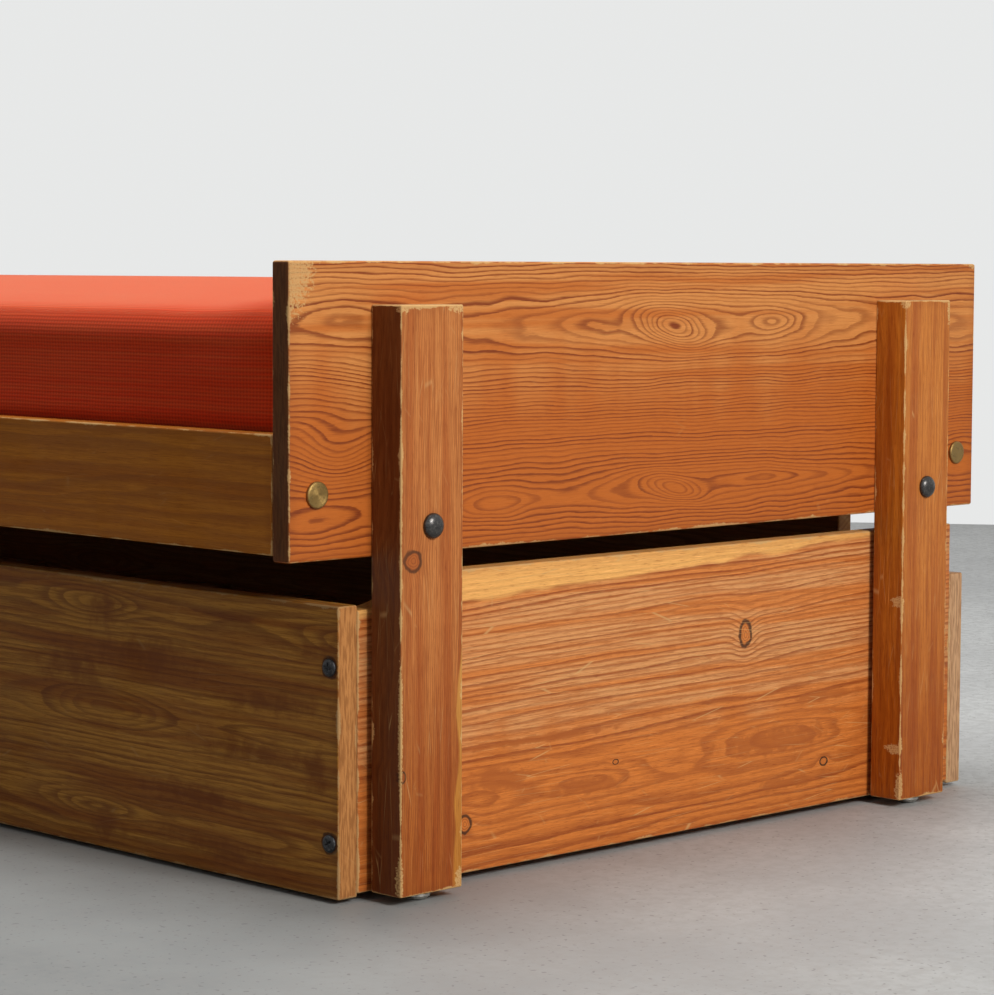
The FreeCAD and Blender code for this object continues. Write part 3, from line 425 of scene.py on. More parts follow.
KNOT_RIM = (0.05, 0.018, 0.008)
FOOT_TINT = (0.76, 0.58, 0.34)
END_YEAR_TINT = (0.45, 0.38, 0.34)
NO_TINT = (1.0, 1.0, 1.0)
DRIFT_SHARE = 0.7
FIBRES_ALONG = 0.018
FIBRES_ACROSS = 0.55
PATCH_SHARE = 0.72
EDGE_SHARE = 0.2
SCRATCH_SHARE = 0.6
BARE_SHARE = 0.85
RELIEF_DEPTH = 0.7 * MM
SLAT_STEP_ALONG = 613.0
SLAT_STEP_ACROSS = 57.0


@dataclass(frozen=True)
class Spot:
    """The shaded point in a board's own directions, in millimetres.

    The figure drifts across the face with depth, so that it runs on round the board's edges:
    deep is across with that drift, and flat is along and deep.
    """

    loom: Loom
    place: Wire
    along: Wire
    across: Wire
    through: Wire
    deep: Wire
    flat: Wire

    @property
    def axes(self) -> Axes:
        """Along, across and through."""
        return self.along, self.across, self.through


@dataclass(frozen=True)
class Swell:
    """A rise or hollow in the grain, in millimetres and in rings."""

    along: float
    across: float
    length: float
    width: float
    rings: float
    lean: float = 0.0

    def height(self, spot: Spot) -> Wire:
        """The swell's share of the ring count.

        Args:
            spot: The shaded point.

        Returns:
            The number of rings that it adds there.
        """
        loom = spot.loom
        du = spot.along - self.along
        dv = spot.across - self.across
        if self.lean:
            cos, sin = math.cos(self.lean), math.sin(self.lean)
            du, dv = du * cos + dv * sin, dv * cos - du * sin
        far = loom.math("POWER", du / self.length, 2.0) + loom.math("POWER", dv / self.width, 2.0)
        return loom.math("EXPONENT", far * -1.0) * self.rings


@dataclass(frozen=True)
class Knot:
    """A knot that the grain flows round; one with a face shows only that far from the bed's middle."""

    along: float
    across: float
    length: float
    width: float
    rings: float = 3.0
    rim: float = 0.7
    face: float = 0.0

    def distance(self, spot: Spot) -> Wire:
        """Distance from the knot's middle, 1 at its rim.

        Args:
            spot: The shaded point.

        Returns:
            The distance, as a share of the knot's own half length and width.
        """
        du = spot.loom.math("POWER", (spot.along - self.along) / self.length, 2.0)
        dv = spot.loom.math("POWER", (spot.across - self.across) / self.width, 2.0)
        return spot.loom.math("SQRT", du + dv)


@dataclass(frozen=True)
class Ridge:
    """A board's main figure: rings crowd on the flanks and open at each crest and trough."""

    crest: float
    gap: float
    rings: float


@dataclass(frozen=True)
class Scuff:
    """A knocked or stained place, as an ellipsoid in the board's own directions."""

    along: float
    across: float
    through: float
    sizes: tuple[float, float, float]
    rim: float = 0.2

    def mask(self, spot: Spot, ragged: Wire) -> Wire:
        """1 inside the place, falling to 0 over its ragged rim.

        Args:
            spot: The shaded point.
            ragged: Noise around 0.5 that frays the rim.

        Returns:
            The mask.
        """
        middles = (self.along, self.across, self.through)
        parts = [spot.loom.math("POWER", (axis - middle) / size, 2.0)
                 for axis, middle, size in zip(spot.axes, middles, self.sizes)]
        far = spot.loom.math("SQRT", parts[0] + parts[1] + parts[2]) + (ragged - 0.5) * 1.6
        return 1.0 - spot.loom.smooth(far, 1.0 - self.rim, 1.0)


@dataclass(frozen=True)
class Sapwood:
    """A pale strip along one edge of a board."""

    start: float
    rise: float
    colour: Colour
    fade: float = 5.0


@dataclass(frozen=True)
class Pine:
    """One board's wood: its colours, its figure and its wear. Lengths are in millimetres."""

    name: str
    run: Run
    early: Colour
    late: Colour
    warm: Colour
    spacing: float
    worn: Colour = (0.66, 0.40, 0.16)
    end: Colour = (0.40, 0.17, 0.055)
    depth: float = 0.85
    edge: float = 0.25
    slope: float = 1.0
    lean: float = 0.0
    through: float = 0.12
    ridge: Ridge | None = None
    swells: tuple[Swell, ...] = ()
    knots: tuple[Knot, ...] = ()
    scuffs: tuple[Scuff, ...] = ()
    patches: tuple[Scuff, ...] = ()
    sapwood: Sapwood | None = None
    wander: float = 0.9
    wander_length: float = 160.0
    wander_width: float = 34.0
    ripple: float = 0.35
    streaks: float = 0.3
    flame: float = 0.0
    reach: float = 1.8
    scratches: float = 0.6
    mirror: float = 1.0
    shift: float = 0.0
    gloss: float = 0.2
    warm_below: float | None = None
    warm_fade: float = 46.0
    # Tint of the painted shade on the board's front face
    painted_front_shade: Colour = NO_TINT
    foot: float = 0.0

    def axes(self, loom: Loom, place: Wire) -> Axes:
        """Turn a place into the board's own directions.

        Args:
            loom: The material's loom.
            place: The shaded point, in millimetres.

        Returns:
            Distances along the fibres, across the face and through the board.
        """
        x, y, z = loom.split(place)
        if self.run is Run.ALONG_BED:
            return x * self.mirror + self.shift, z, y
        if self.run is Run.ACROSS_BED:
            return y * self.mirror + self.shift, z, x
        if self.run is Run.UPRIGHT:
            return z + self.shift, y * self.mirror, x
        number = loom.wire("ShaderNodeAttribute", output="Fac", attribute_name="board")
        return y + number * SLAT_STEP_ALONG + self.shift, x + number * SLAT_STEP_ACROSS, z

    def spot(self, loom: Loom) -> Spot:
        """Find the shaded point on this board.

        Args:
            loom: The material's loom.

        Returns:
            The point.
        """
        place = place_in_mm(loom)
        along, across, through = self.axes(loom, place)
        deep = across + through * DRIFT_SHARE
        return Spot(loom, place, along, across, through, deep, loom.join(along, deep, 0.0))

    def rings(self, spot: Spot) -> Wire:
        """Count the growth rings up to a point.

        Args:
            spot: The shaded point.

        Returns:
            The ring count.
        """
        loom, along, across = spot.loom, spot.along, spot.across
        slow = loom.join(along / self.wander_length, spot.deep / self.wander_width, 0.0)
        quick = loom.join(along / (self.wander_length * 0.42), spot.deep / (self.wander_width * 0.4), 0.0)
        count = (across - along * self.lean) * (self.slope / self.spacing) + spot.through * self.through
        for place, most in ((slow, self.wander), (quick, self.ripple)):
            count = count + (loom.noise(place, 1.0, 1.0) - 0.5) * (2.0 * most)
        if self.ridge:
            crest = along * self.lean + self.ridge.crest
            wave = loom.math("COSINE", (across - crest) * (math.pi / self.ridge.gap))
            count = count + wave * self.ridge.rings
        for swell in self.swells:
            count = count + swell.height(spot)
        for knot in self.knots:
            far = loom.math("POWER", knot.distance(spot) / 1.9, 2.0)
            count = count + loom.math("EXPONENT", far * -1.0) * knot.rings
        return count

    def tones(self, spot: Spot) -> tuple[object, object, object]:
        """The wood's three tones, paler in the sapwood and warmer below a given height.

        Args:
            spot: The shaded point.

        Returns:
            The early, late and warm tones.
        """
        loom, along, across = spot.loom, spot.along, spot.across
        early, late, warm = self.early, self.late, self.warm
        if self.sapwood:
            start, pale = self.sapwood.start, self.sapwood.colour
            line = across - along * self.sapwood.rise + (loom.noise(along * 0.01, 1.0, 1.0) - 0.5) * 12.0
            share = loom.smooth(line, start, start + self.sapwood.fade)
            early, warm = loom.mix(share, early, pale), loom.mix(share, warm, pale)
            late = loom.mix(share * 0.72, late, pale)
        if self.warm_below is not None:
            height, fade = self.warm_below, self.warm_fade
            line = across + (loom.noise(along * 0.012, 1.0, 2.0) - 0.5) * fade
            share = loom.smooth(line, height - fade * 0.4, height + fade * 0.6)
            early = loom.mix(1.0 - share, early, warm)
        return early, late, warm

    def end_mask(self, spot: Spot, low: Vector, high: Vector) -> Wire:
        """Find the faces that cut across the fibres.

        Args:
            spot: The shaded point.
            low: The board's lowest corner, in metres.
            high: Its highest corner.

        Returns:
            A mask, 1 on those faces.
        """
        axis = {Run.ALONG_BED: 0, Run.UPRIGHT: 2}.get(self.run, 1)
        value = spot.loom.split(spot.place)[axis]
        near = spot.loom.math("MINIMUM", value - low[axis] / MM, high[axis] / MM - value)
        return 1.0 - spot.loom.smooth(near, 0.25, 0.9)

    def material(self, low: Vector, high: Vector, seed: float = 0.0) -> bpy.types.Material:
        """Build the board's material.

        Args:
            low: The board's lowest corner, in metres.
            high: Its highest corner.
            seed: Moves the wear about.

        Returns:
            The finished material.
        """
        material, loom = new_material(self.name)
        spot = self.spot(loom)
        fibre = loom.join(spot.along * FIBRES_ALONG, spot.deep * FIBRES_ACROSS, 0.0)
        early, late, warm = self.tones(spot)
        pine = loom.group(pine_group(), Rings=self.rings(spot), Fibre=fibre, Early=early, Late=late,
                          Warm=warm, Depth=self.depth, Edge=self.edge, Streaks=self.streaks, Flame=self.flame)
        colour = self.draw_patches(spot, pine["Color"])
        colour = self.draw_knots(spot, colour)
        # painted shade on the front face, and a darker foot
        colour = self.age(spot, colour, low)
        cut = self.end_mask(spot, low, high)
        colour = self.draw_ends(spot, colour, cut)
        wear = loom.group(worn_edges_group(), Place=spot.place, Flat=spot.flat, Reach=self.reach, Seed=seed,
                          Low=tuple(low / MM), High=tuple(high / MM))
        marks = loom.group(marks_group(), Flat=spot.flat, Amount=self.scratches)
        gone = self.add_scuffs(spot, wear["Wear"], cut)
        bare = loom.mix(loom.noise(fibre, 5.0, 1.0) * 0.5, self.worn, loom.mix(0.5, self.worn, self.late))
        colour = loom.mix(wear["Near"] * EDGE_SHARE, colour, self.late)
        colour = loom.mix(marks["Scratches"] * SCRATCH_SHARE, colour, self.worn)
        colour = loom.mix(gone * BARE_SHARE, colour, bare)
        rough = pine["Roughness"] + loom.math("MAXIMUM", gone, cut) * 0.3 + marks["Rub"] * 0.1
        relief = loom.group(relief_group(), Fibre=fibre)
        normal = loom.bump(relief["Height"], 0.2, RELIEF_DEPTH)
        loom.surface(colour, rough, normal, Specular_IOR_Level=self.gloss)
        return material

    def draw_patches(self, spot: Spot, colour: Wire) -> Wire:
        """Darken the resinous patches of the figure.

        Args:
            spot: The shaded point.
            colour: The wood so far.

        Returns:
            The wood with its patches.
        """
        if self.patches:
            ragged = spot.loom.noise(spot.flat, 0.05, 3.0, 0.6)
            dark = spot.loom.mix(0.4, self.late, self.warm)
            for patch in self.patches:
                colour = spot.loom.mix(patch.mask(spot, ragged) * PATCH_SHARE, colour, dark)
        return colour

    def draw_knots(self, spot: Spot, colour: Wire) -> Wire:
        """Draw each knot's own rings and its dark rim over the wood.

        Args:
            spot: The shaded point.
            colour: The wood so far.

        Returns:
            The wood with its knots.
        """
        loom = spot.loom
        for knot in self.knots:
            far = knot.distance(spot) + (loom.noise(spot.flat, 0.12, 1.0) - 0.5) * 0.4
            core = 1.0 - loom.smooth(far, 0.78, 1.0)
            year = loom.smooth(loom.math("FRACT", far * 3.4), 0.35, 0.9)
            inside = loom.mix(year * 0.7, self.warm, self.late)
            rim = core * loom.smooth(far, 0.6, 0.9) + (1.0 - loom.smooth(far, 1.0, 1.2)) * (1.0 - core)
            rim = loom.math("MINIMUM", rim, 1.0)
            if knot.face:
                shown = loom.smooth(loom.math("ABSOLUTE", spot.through), knot.face - 8.0, knot.face - 1.0)
                core, rim = core * shown, rim * shown
            colour = loom.mix(core * 0.85, colour, inside)
            colour = loom.mix(rim * knot.rim, colour, KNOT_RIM)
        return colour

    def age(self, spot: Spot, colour: Wire, low: Vector) -> Wire:
        """Paint shade on the board's front face, and darken its foot.

        Args:
            spot: The shaded point.
            colour: The wood so far.
            low: The board's lowest corner, in metres.

        Returns:
            The aged wood.
        """
        loom = spot.loom
        if self.painted_front_shade != NO_TINT:
            # painted shade: the board's front face, within about a millimetre of its front side, takes the
            # tint
            front = 1.0 - loom.smooth(loom.split(spot.place)[1] - low.y / MM, 0.3, 1.1)
            colour = loom.mix(front, colour, loom.tint(colour, self.painted_front_shade))
        if self.foot:
            foot = 1.0 - loom.smooth(spot.along, 30.0, 300.0)
            colour = loom.mix(foot * self.foot, colour, loom.tint(colour, FOOT_TINT))
        return colour

    def draw_ends(self, spot: Spot, colour: Wire, cut: Wire) -> Wire:
        """Show the cut fibres, darker year by year, on the board's ends.

        Args:
            spot: The shaded point.
            colour: The wood so far.
            cut: The mask of the ends.

        Returns:
            The wood with its ends.
        """
        loom = spot.loom
        year = loom.noise(loom.join(spot.across * 0.05, spot.through * 0.45, 0.0), 1.0, 2.0)
        end = loom.mix(loom.smooth(year, 0.4, 0.62) * 0.6, self.end, loom.tint(self.end, END_YEAR_TINT))
        return loom.mix(cut, colour, end)

    def add_scuffs(self, spot: Spot, gone: Wire, cut: Wire) -> Wire:
        """Add the scuffs to the places where the finish has gone.

        Args:
            spot: The shaded point.
            gone: The mask of those places so far.
            cut: The mask of the board's ends, which the scuffs leave out.

        Returns:
            The whole mask.
        """
        if self.scuffs:
            loom = spot.loom
            ragged = loom.noise(spot.flat, 0.3, 3.0, 0.7)
            specks = loom.smooth(loom.noise(spot.flat, 0.6, 2.0, 0.7), 0.5, 0.62)
            for scuff in self.scuffs:
                bare_place = scuff.mask(spot, ragged) * (1.0 - specks * 0.6)
                gone = loom.math("MAXIMUM", gone, bare_place * (1.0 - cut))
        return gone


# Half the thickness of a patch that reaches right through any board
RIGHT_THROUGH = 9000.0


def swells_at(*shapes: tuple[float, ...]) -> tuple[Swell, ...]:
    """Swells, each from its place along and across, length, width, rings and, where it leans, lean."""
    return tuple(Swell(*shape) for shape in shapes)


def patches_at(rim: float, *shapes: tuple[float, float, float, float]) -> tuple[Scuff, ...]:
    """Resinous patches right through a board, each from its place along and across, length and width."""
    return tuple(Scuff(along, across, 0.0, (length, width, RIGHT_THROUGH), rim)
                 for along, across, length, width in shapes)


PANEL_PINE = Pine(
    name="end panel pine", run=Run.ACROSS_BED,
    early=(0.64, 0.250, 0.066), late=(0.21, 0.040, 0.008), warm=(0.50, 0.128, 0.018),
    end=(0.120, 0.044, 0.012), spacing=80.0, slope=0.5, depth=1.0, edge=0.42, through=0.16,
    warm_below=440.0, warm_fade=110.0, ridge=Ridge(crest=491.0, gap=152.0, rings=14.5),
    swells=swells_at(
        (45.0, 490.0, 170.0, 36.0, 4.6),
        (2.0, 490.0, 44.0, 16.0, 5.2, -0.28),
        (146.0, 494.0, 36.0, 11.0, 2.6),
        (-120.0, 492.0, 40.0, 12.0, 0.8),
        (6.0, 338.0, 44.0, 11.0, -4.2, -0.25),
        (60.0, 341.0, 200.0, 24.0, -4.4),
        (150.0, 343.0, 60.0, 9.0, -2.0),
        (250.0, 342.0, 44.0, 8.0, -1.2),
        (-240.0, 336.0, 56.0, 16.0, -3.4),
        (-424.0, 500.0, 40.0, 16.0, 1.4),
        (-452.0, 440.0, 70.0, 34.0, -5.0),
        (-415.0, 385.0, 44.0, 26.0, 5.0),
        (-440.0, 330.0, 46.0, 14.0, -1.2),
        (440.0, 470.0, 60.0, 60.0, 2.4),
        (455.0, 360.0, 60.0, 40.0, -2.4),
    ),
    scuffs=(Scuff(-474.0, 556.0, 1020.0, (31.0, 52.0, 30.0)),
            Scuff(470.0, 552.0, 1020.0, (12.0, 8.0, 30.0))),
    wander=1.0, wander_length=120.0, wander_width=40.0, ripple=0.42,
    streaks=0.5, flame=0.15, reach=1.5, scratches=0.12,
)

END_BOARD_PINE = Pine(
    name="lower end board pine", run=Run.ACROSS_BED,
    early=(0.69, 0.310, 0.110), late=(0.25, 0.046, 0.009), warm=(0.64, 0.190, 0.034),
    end=(0.42, 0.18, 0.055), spacing=160.0, slope=1.0, lean=0.03, depth=0.85, edge=0.38, through=0.14,
    warm_below=118.0, ridge=Ridge(crest=76.0, gap=270.0, rings=-17.0),
    swells=swells_at(
        (172.0, 84.0, 95.0, 17.0, -2.6),
        (-112.0, 72.0, 62.0, 11.0, -2.0),
        (-250.0, 74.0, 55.0, 18.0, -2.4),
        (20.0, 76.0, 44.0, 12.0, 0.7),
        (150.0, 210.0, 70.0, 16.0, 1.0),
    ),
    knots=(Knot(117.0, 190.0, 9.0, 13.0, 2.2, 0.9), Knot(239.0, 51.0, 6.0, 4.5, 0.8, 1.0),
           Knot(-67.0, 85.0, 4.0, 2.5, 0.4, 1.0), Knot(-262.0, 51.0, 8.0, 8.0, 1.0, 0.9)),
    patches=patches_at(
        0.5,
        (165.0, 80.0, 92.0, 15.0),
        (-222.0, 86.0, 48.0, 12.0),
        (-105.0, 67.0, 58.0, 9.0),
        (181.0, 36.0, 55.0, 7.0),
        (240.0, 118.0, 66.0, 6.0),
        (-160.0, 118.0, 100.0, 5.0),
    ),
    sapwood=Sapwood(start=258.0, rise=0.042, colour=(0.87, 0.44, 0.125)),
    wander=0.8, wander_length=230.0, wander_width=26.0, ripple=0.22,
    streaks=1.0, flame=0.5, reach=1.5, scratches=1.0,
)

# The corner screws' places along the bed and up, and the reach of the dark ring round each
SCREW_LINE = 1005.0
SCREW_HEIGHTS = (52.0, 204.0)
SCREW_DARK_RING = 9.3

# Darker than the end boards: partly the board's own tone, partly painted shade of the bed's front side
FRONT_BOARD_PINE = Pine(
    name="lower front board pine", run=Run.ALONG_BED,
    early=(0.50, 0.220, 0.036), late=(0.12, 0.028, 0.006), warm=(0.26, 0.070, 0.010),
    end=(0.58, 0.250, 0.078), worn=(0.52, 0.31, 0.13), gloss=0.1,
    spacing=40.0, slope=0.3, depth=0.6, edge=0.2, ridge=Ridge(crest=232.0, gap=95.0, rings=5.6),
    patches=patches_at(
        1.0,
        (905.0, 120.0, 92.0, 15.0),
        (985.0, 216.0, 40.0, 13.0),
        (986.0, 112.0, 30.0, 24.0),
        (860.0, 27.0, 100.0, 14.0),
        (692.0, 27.0, 36.0, 20.0),
        (688.0, 228.0, 40.0, 22.0),
        (752.0, 190.0, 90.0, 24.0),
        (640.0, 170.0, 60.0, 28.0),
        (930.0, 165.0, 110.0, 13.0),
        (820.0, 70.0, 90.0, 15.0),
        (300.0, 190.0, 120.0, 18.0),
        (60.0, 80.0, 150.0, 18.0),
        (-330.0, 120.0, 120.0, 20.0),
        (-700.0, 60.0, 140.0, 18.0),
    ),
    swells=swells_at(
        (672.0, 233.0, 60.0, 14.0, 3.4),
        (690.0, 135.0, 90.0, 20.0, -4.0),
        (676.0, 43.0, 70.0, 12.0, 3.2),
        (930.0, 136.0, 100.0, 9.0, -2.4),
        (1030.0, 228.0, 60.0, 12.0, 3.0),
        (870.0, 44.0, 110.0, 12.0, 2.2),
        (260.0, 232.0, 150.0, 14.0, 3.0),
        (120.0, 134.0, 170.0, 16.0, -3.4),
        (-320.0, 232.0, 130.0, 16.0, 3.2),
        (-560.0, 138.0, 150.0, 18.0, -3.6),
    ),
    knots=tuple(Knot(side * SCREW_LINE, height, SCREW_DARK_RING, SCREW_DARK_RING, 0.0, 0.85)
                for side in (-1, 1) for height in SCREW_HEIGHTS),
    wander=0.9, wander_length=190.0, wander_width=30.0, ripple=0.3,
    streaks=0.9, flame=0.45, reach=1.5, scratches=0.3,
)

BACK_BOARD_PINE = replace(
    FRONT_BOARD_PINE, name="lower back board pine",
    early=(0.56, 0.29, 0.11), late=(0.30, 0.11, 0.035), warm=(0.48, 0.20, 0.06), worn=(0.66, 0.46, 0.24),
    end=(0.62, 0.37, 0.20), shift=240.0, mirror=-1.0, knots=(),
)

# Darker than the end boards: partly the rail's own tone, partly painted shade, as on the bed's front side
RAIL_PINE = Pine(
    name="rail pine", run=Run.ALONG_BED,
    early=(0.47, 0.156, 0.013), late=(0.20, 0.050, 0.004), warm=(0.36, 0.100, 0.007),
    worn=(0.66, 0.40, 0.16), gloss=0.1, spacing=13.0, depth=0.4, edge=0.1, lean=0.004,
    swells=swells_at((650.0, 345.0, 120.0, 16.0, 1.2), (-300.0, 355.0, 200.0, 18.0, 1.4)),
    wander=0.9, wander_length=260.0, wander_width=26.0, ripple=0.15,
    streaks=0.8, flame=0.4, reach=1.2, scratches=0.2,
)

POST_PINE = Pine(
    name="post pine", run=Run.UPRIGHT,
    early=(0.56, 0.200, 0.053), late=(0.21, 0.048, 0.009), warm=(0.41, 0.105, 0.021), end=(0.46, 0.24, 0.09),
    worn=(0.70, 0.44, 0.18), spacing=2.4, depth=0.46, edge=0.2, lean=0.018, through=0.10,
    knots=(Knot(296.0, -366.0, 9.0, 10.0, 1.8, 0.8), Knot(112.0, -377.5, 5.0, 3.5, 0.8, 1.0, 1059.0)),
    sapwood=Sapwood(start=-319.0, rise=0.035, colour=(0.72, 0.36, 0.085), fade=3.0),
    scuffs=(Scuff(512.0, -378.0, 1058.0, (6.0, 12.0, 6.0)), Scuff(22.0, -380.0, 1059.0, (22.0, 3.0, 6.0)),
            Scuff(150.0, -380.0, 1059.0, (60.0, 2.5, 3.0)), Scuff(14.0, -310.0, 1059.0, (12.0, 6.0, 5.0)),
            Scuff(512.0, -310.0, 1059.0, (6.0, 16.0, 5.0))),
    wander=1.2, wander_length=130.0, wander_width=30.0, ripple=0.25,
    # the front face tint is painted shade on the front posts' front faces
    streaks=1.0, flame=0.5, reach=1.5, scratches=0.6, painted_front_shade=(0.36, 0.30, 0.24), foot=1.0,
)

BACK_POST_PINE = replace(
    POST_PINE, name="back post pine", early=(0.60, 0.210, 0.042), late=(0.27, 0.062, 0.010),
    # the front face tint is painted shade, coloured like light thrown back from the end panel, on the back
    # posts' front faces
    knots=(), sapwood=None, lean=-0.012, depth=0.5, painted_front_shade=(0.90, 0.82, 0.36),
    scuffs=(Scuff(210.0, 307.0, 1054.0, (6.0, 5.0, 8.0)), Scuff(60.0, 307.0, 1052.0, (5.0, 5.0, 12.0)),
            Scuff(20.0, 308.0, 1059.0, (18.0, 4.0, 6.0)), Scuff(511.0, 309.0, 1058.0, (6.0, 6.0, 6.0)),
            Scuff(505.0, 379.0, 1058.0, (18.0, 4.0, 8.0))),
)

PLAIN_PINE = Pine(
    name="slat pine", run=Run.SLAT,
    early=(0.56, 0.34, 0.15), late=(0.38, 0.18, 0.065), warm=(0.50, 0.27, 0.10), end=(0.46, 0.26, 0.11),
    worn=(0.66, 0.48, 0.26), spacing=7.0, depth=0.55, edge=0.2, lean=0.01,
    wander=1.6, wander_length=240.0, wander_width=30.0, ripple=0.3, reach=1.4, scratches=0.2,
)

LEDGER_PINE = replace(PLAIN_PINE, name="ledger pine", run=Run.ALONG_BED)

BEECH = Pine(
    name="dowel beech", run=Run.ALONG_BED, early=(0.58, 0.40, 0.24), late=(0.44, 0.27, 0.15),
    warm=(0.52, 0.34, 0.19), spacing=2.5, depth=0.3, wander=0.5, reach=0.5, scratches=0.0,
)


# Wool and metal


@dataclass(frozen=True)
class Wool:
    """The mattress cover, a fine wool knit, with its courses and wales in millimetres."""

    name: str = "red wool knit"
    colour: Colour = (0.76, 0.044, 0.006)
    shade: Colour = (0.31, 0.010, 0.003)
    bloom: Colour = (0.75, 0.095, 0.020)
    fuzz_tint: Colour = (0.62, 0.72, 0.45)
    course: float = 3.3
    wale: float = 4.3
    bloom_share: float = 0.45
    gap_share: float = 0.55
    hollow_share: float = 0.3
    rough: float = 0.95
    sheen: float = 0.4
    relief: float = 0.4
    relief_depth: float = 0.9 * MM

    def material(self) -> bpy.types.Material:
        """Build the cover's material.

        Returns:
            The finished material.
        """
        material, loom = new_material(self.name)
        normal = loom.wire("ShaderNodeTexCoord", output="Normal")
        knit = loom.group(knit_group(), Place=place_in_mm(loom), Normal=normal,
                          Course=self.course, Wale=self.wale)
        tone = loom.smooth(knit["Tone"], 0.35, 0.7)
        colour = loom.mix(tone * self.bloom_share, self.colour, self.bloom)
        colour = loom.mix(knit["Gaps"] * self.gap_share, colour, self.shade)
        colour = loom.mix((1.0 - knit["Height"]) * self.hollow_share, colour, self.shade)
        normal = loom.bump(knit["Height"], self.relief, self.relief_depth)
        loom.surface(colour, self.rough, normal, Sheen_Weight=self.sheen, Sheen_Roughness=0.4,
                     Sheen_Tint=self.fuzz_tint, Specular_IOR_Level=0.05)
        return material


@dataclass(frozen=True)
class Metal:
    """A small metal part's finish, with dull spots scattered over it."""

    name: str
    colour: Colour
    dull: Colour
    rough: float
    metallic: float = 1.0
    scale: float = 0.25
    relief: float = 0.12
    relief_depth: float = 0.3 * MM

    def material(self) -> bpy.types.Material:
        """Build the metal's material.

        Returns:
            The finished material.
        """
        material, loom = new_material(self.name)
        patina = loom.group(patina_group(), Place=place_in_mm(loom), Scale=self.scale)
        colour = loom.mix(patina["Spots"] * 0.7, self.colour, self.dull)
        rough = patina["Grain"] * 0.18 + patina["Spots"] * 0.12 + (self.rough - 0.09)
        normal = loom.bump(patina["Grain"], self.relief, self.relief_depth)
        loom.surface(colour, rough, normal, Metallic=self.metallic)
        return material


@dataclass(frozen=True)
class TurnedBrass:
    """A brass disc with the fine rings that a lathe leaves, round each disc's middle."""

    centre: Vector
    name: str = "turned brass"
    colour: Colour = (0.31, 0.195, 0.065)
    dull: Colour = (0.15, 0.100, 0.040)
    pitch: float = 0.42
    relief_depth: float = 0.2 * MM

    def material(self) -> bpy.types.Material:
        """Build the brass, with rings round both discs of an end.

        Returns:
            The finished material.
        """
        material, loom = new_material(self.name)
        place = place_in_mm(loom)
        _, y, z = loom.split(place)
        across = loom.math("ABSOLUTE", y) - self.centre.y / MM
        up = z - self.centre.z / MM
        radius = loom.math("SQRT", across * across + up * up)
        rings = loom.math("SINE", radius * (math.tau / self.pitch))
        patina = loom.group(patina_group(), Place=place, Scale=0.3)
        colour = loom.mix(patina["Spots"] * 0.55, self.colour, self.dull)
        normal = loom.bump(rings * 0.5 + patina["Grain"] * 0.3, 0.35, self.relief_depth)
        loom.surface(colour, patina["Spots"] * 0.12 + 0.4, normal, Metallic=1.0)
        return material


BLACK_STEEL = Metal("black steel", (0.066, 0.063, 0.061), (0.13, 0.120, 0.11), 0.28,
                    metallic=0.85, scale=0.35)
SCREW_STEEL = Metal("black screw steel", (0.035, 0.034, 0.036), (0.10, 0.095, 0.09), 0.42,
                    metallic=0.8, scale=0.5)
ZINC = Metal("zinc plate", (0.50, 0.50, 0.49), (0.30, 0.29, 0.27), 0.42, scale=0.3)
NICKEL = Metal("worn nickel", (0.55, 0.53, 0.49), (0.28, 0.25, 0.21), 0.30, scale=0.4)
NYLON = Metal("castor nylon", (0.028, 0.028, 0.030), (0.07, 0.068, 0.064), 0.55, metallic=0.0, scale=0.2)


# Meshes

Profile = list[tuple[float, float]]
SHARP_ANGLE = math.radians(38)


def add_piece(name: str, mesh: bpy.types.Mesh) -> bpy.types.Object:
    """Put a mesh in the scene as a piece at the origin.

    Args:
        name: The piece's name.
        mesh: Its mesh.

    Returns:
        The piece.
    """
    piece = bpy.data.objects.new(name, mesh)
    bpy.context.scene.collection.objects.link(piece)
    return piece


def bake(piece: bpy.types.Object) -> None:
    """Apply the piece's modifiers to its mesh.

    Args:
        piece: The piece, whose modifiers are then gone.
    """
    graph = bpy.context.evaluated_depsgraph_get()
    graph.update()
    mesh = bpy.data.meshes.new_from_object(piece.evaluated_get(graph))
    piece.modifiers.clear()
    piece.data = mesh


def turned_mesh(name: str, profile: Profile, sides: int) -> bpy.types.Mesh:
    """Turn a profile round Z into a closed mesh.

    Args:
        name: The mesh's name.
        profile: Radius and height of each ring, from the lower pole to the upper, in metres.
        sides: Number of sides.

    Returns:
        The mesh, smooth shaded.
    """
    shape = bmesh.new()
    rings = []
    for radius, height in profile:
        if radius == 0:
            rings.append([shape.verts.new((0, 0, height))])
            continue
        angles = (math.tau * side / sides for side in range(sides))
        rings.append([shape.verts.new((radius * math.cos(a), radius * math.sin(a), height)) for a in angles])
    for low, high in zip(rings, rings[1:]):
        for side in range(sides):
            after = (side + 1) % sides
            corners = [low[side % len(low)], low[after % len(low)]]
            corners += [high[after % len(high)], high[side % len(high)]]
            shape.faces.new(list(dict.fromkeys(corners)))
    bmesh.ops.recalc_face_normals(shape, faces=shape.faces)
    mesh = bpy.data.meshes.new(name)
    shape.to_mesh(mesh)
    shape.free()
    mesh.shade_smooth()
    mesh.set_sharp_from_angle(angle=SHARP_ANGLE)
    return mesh


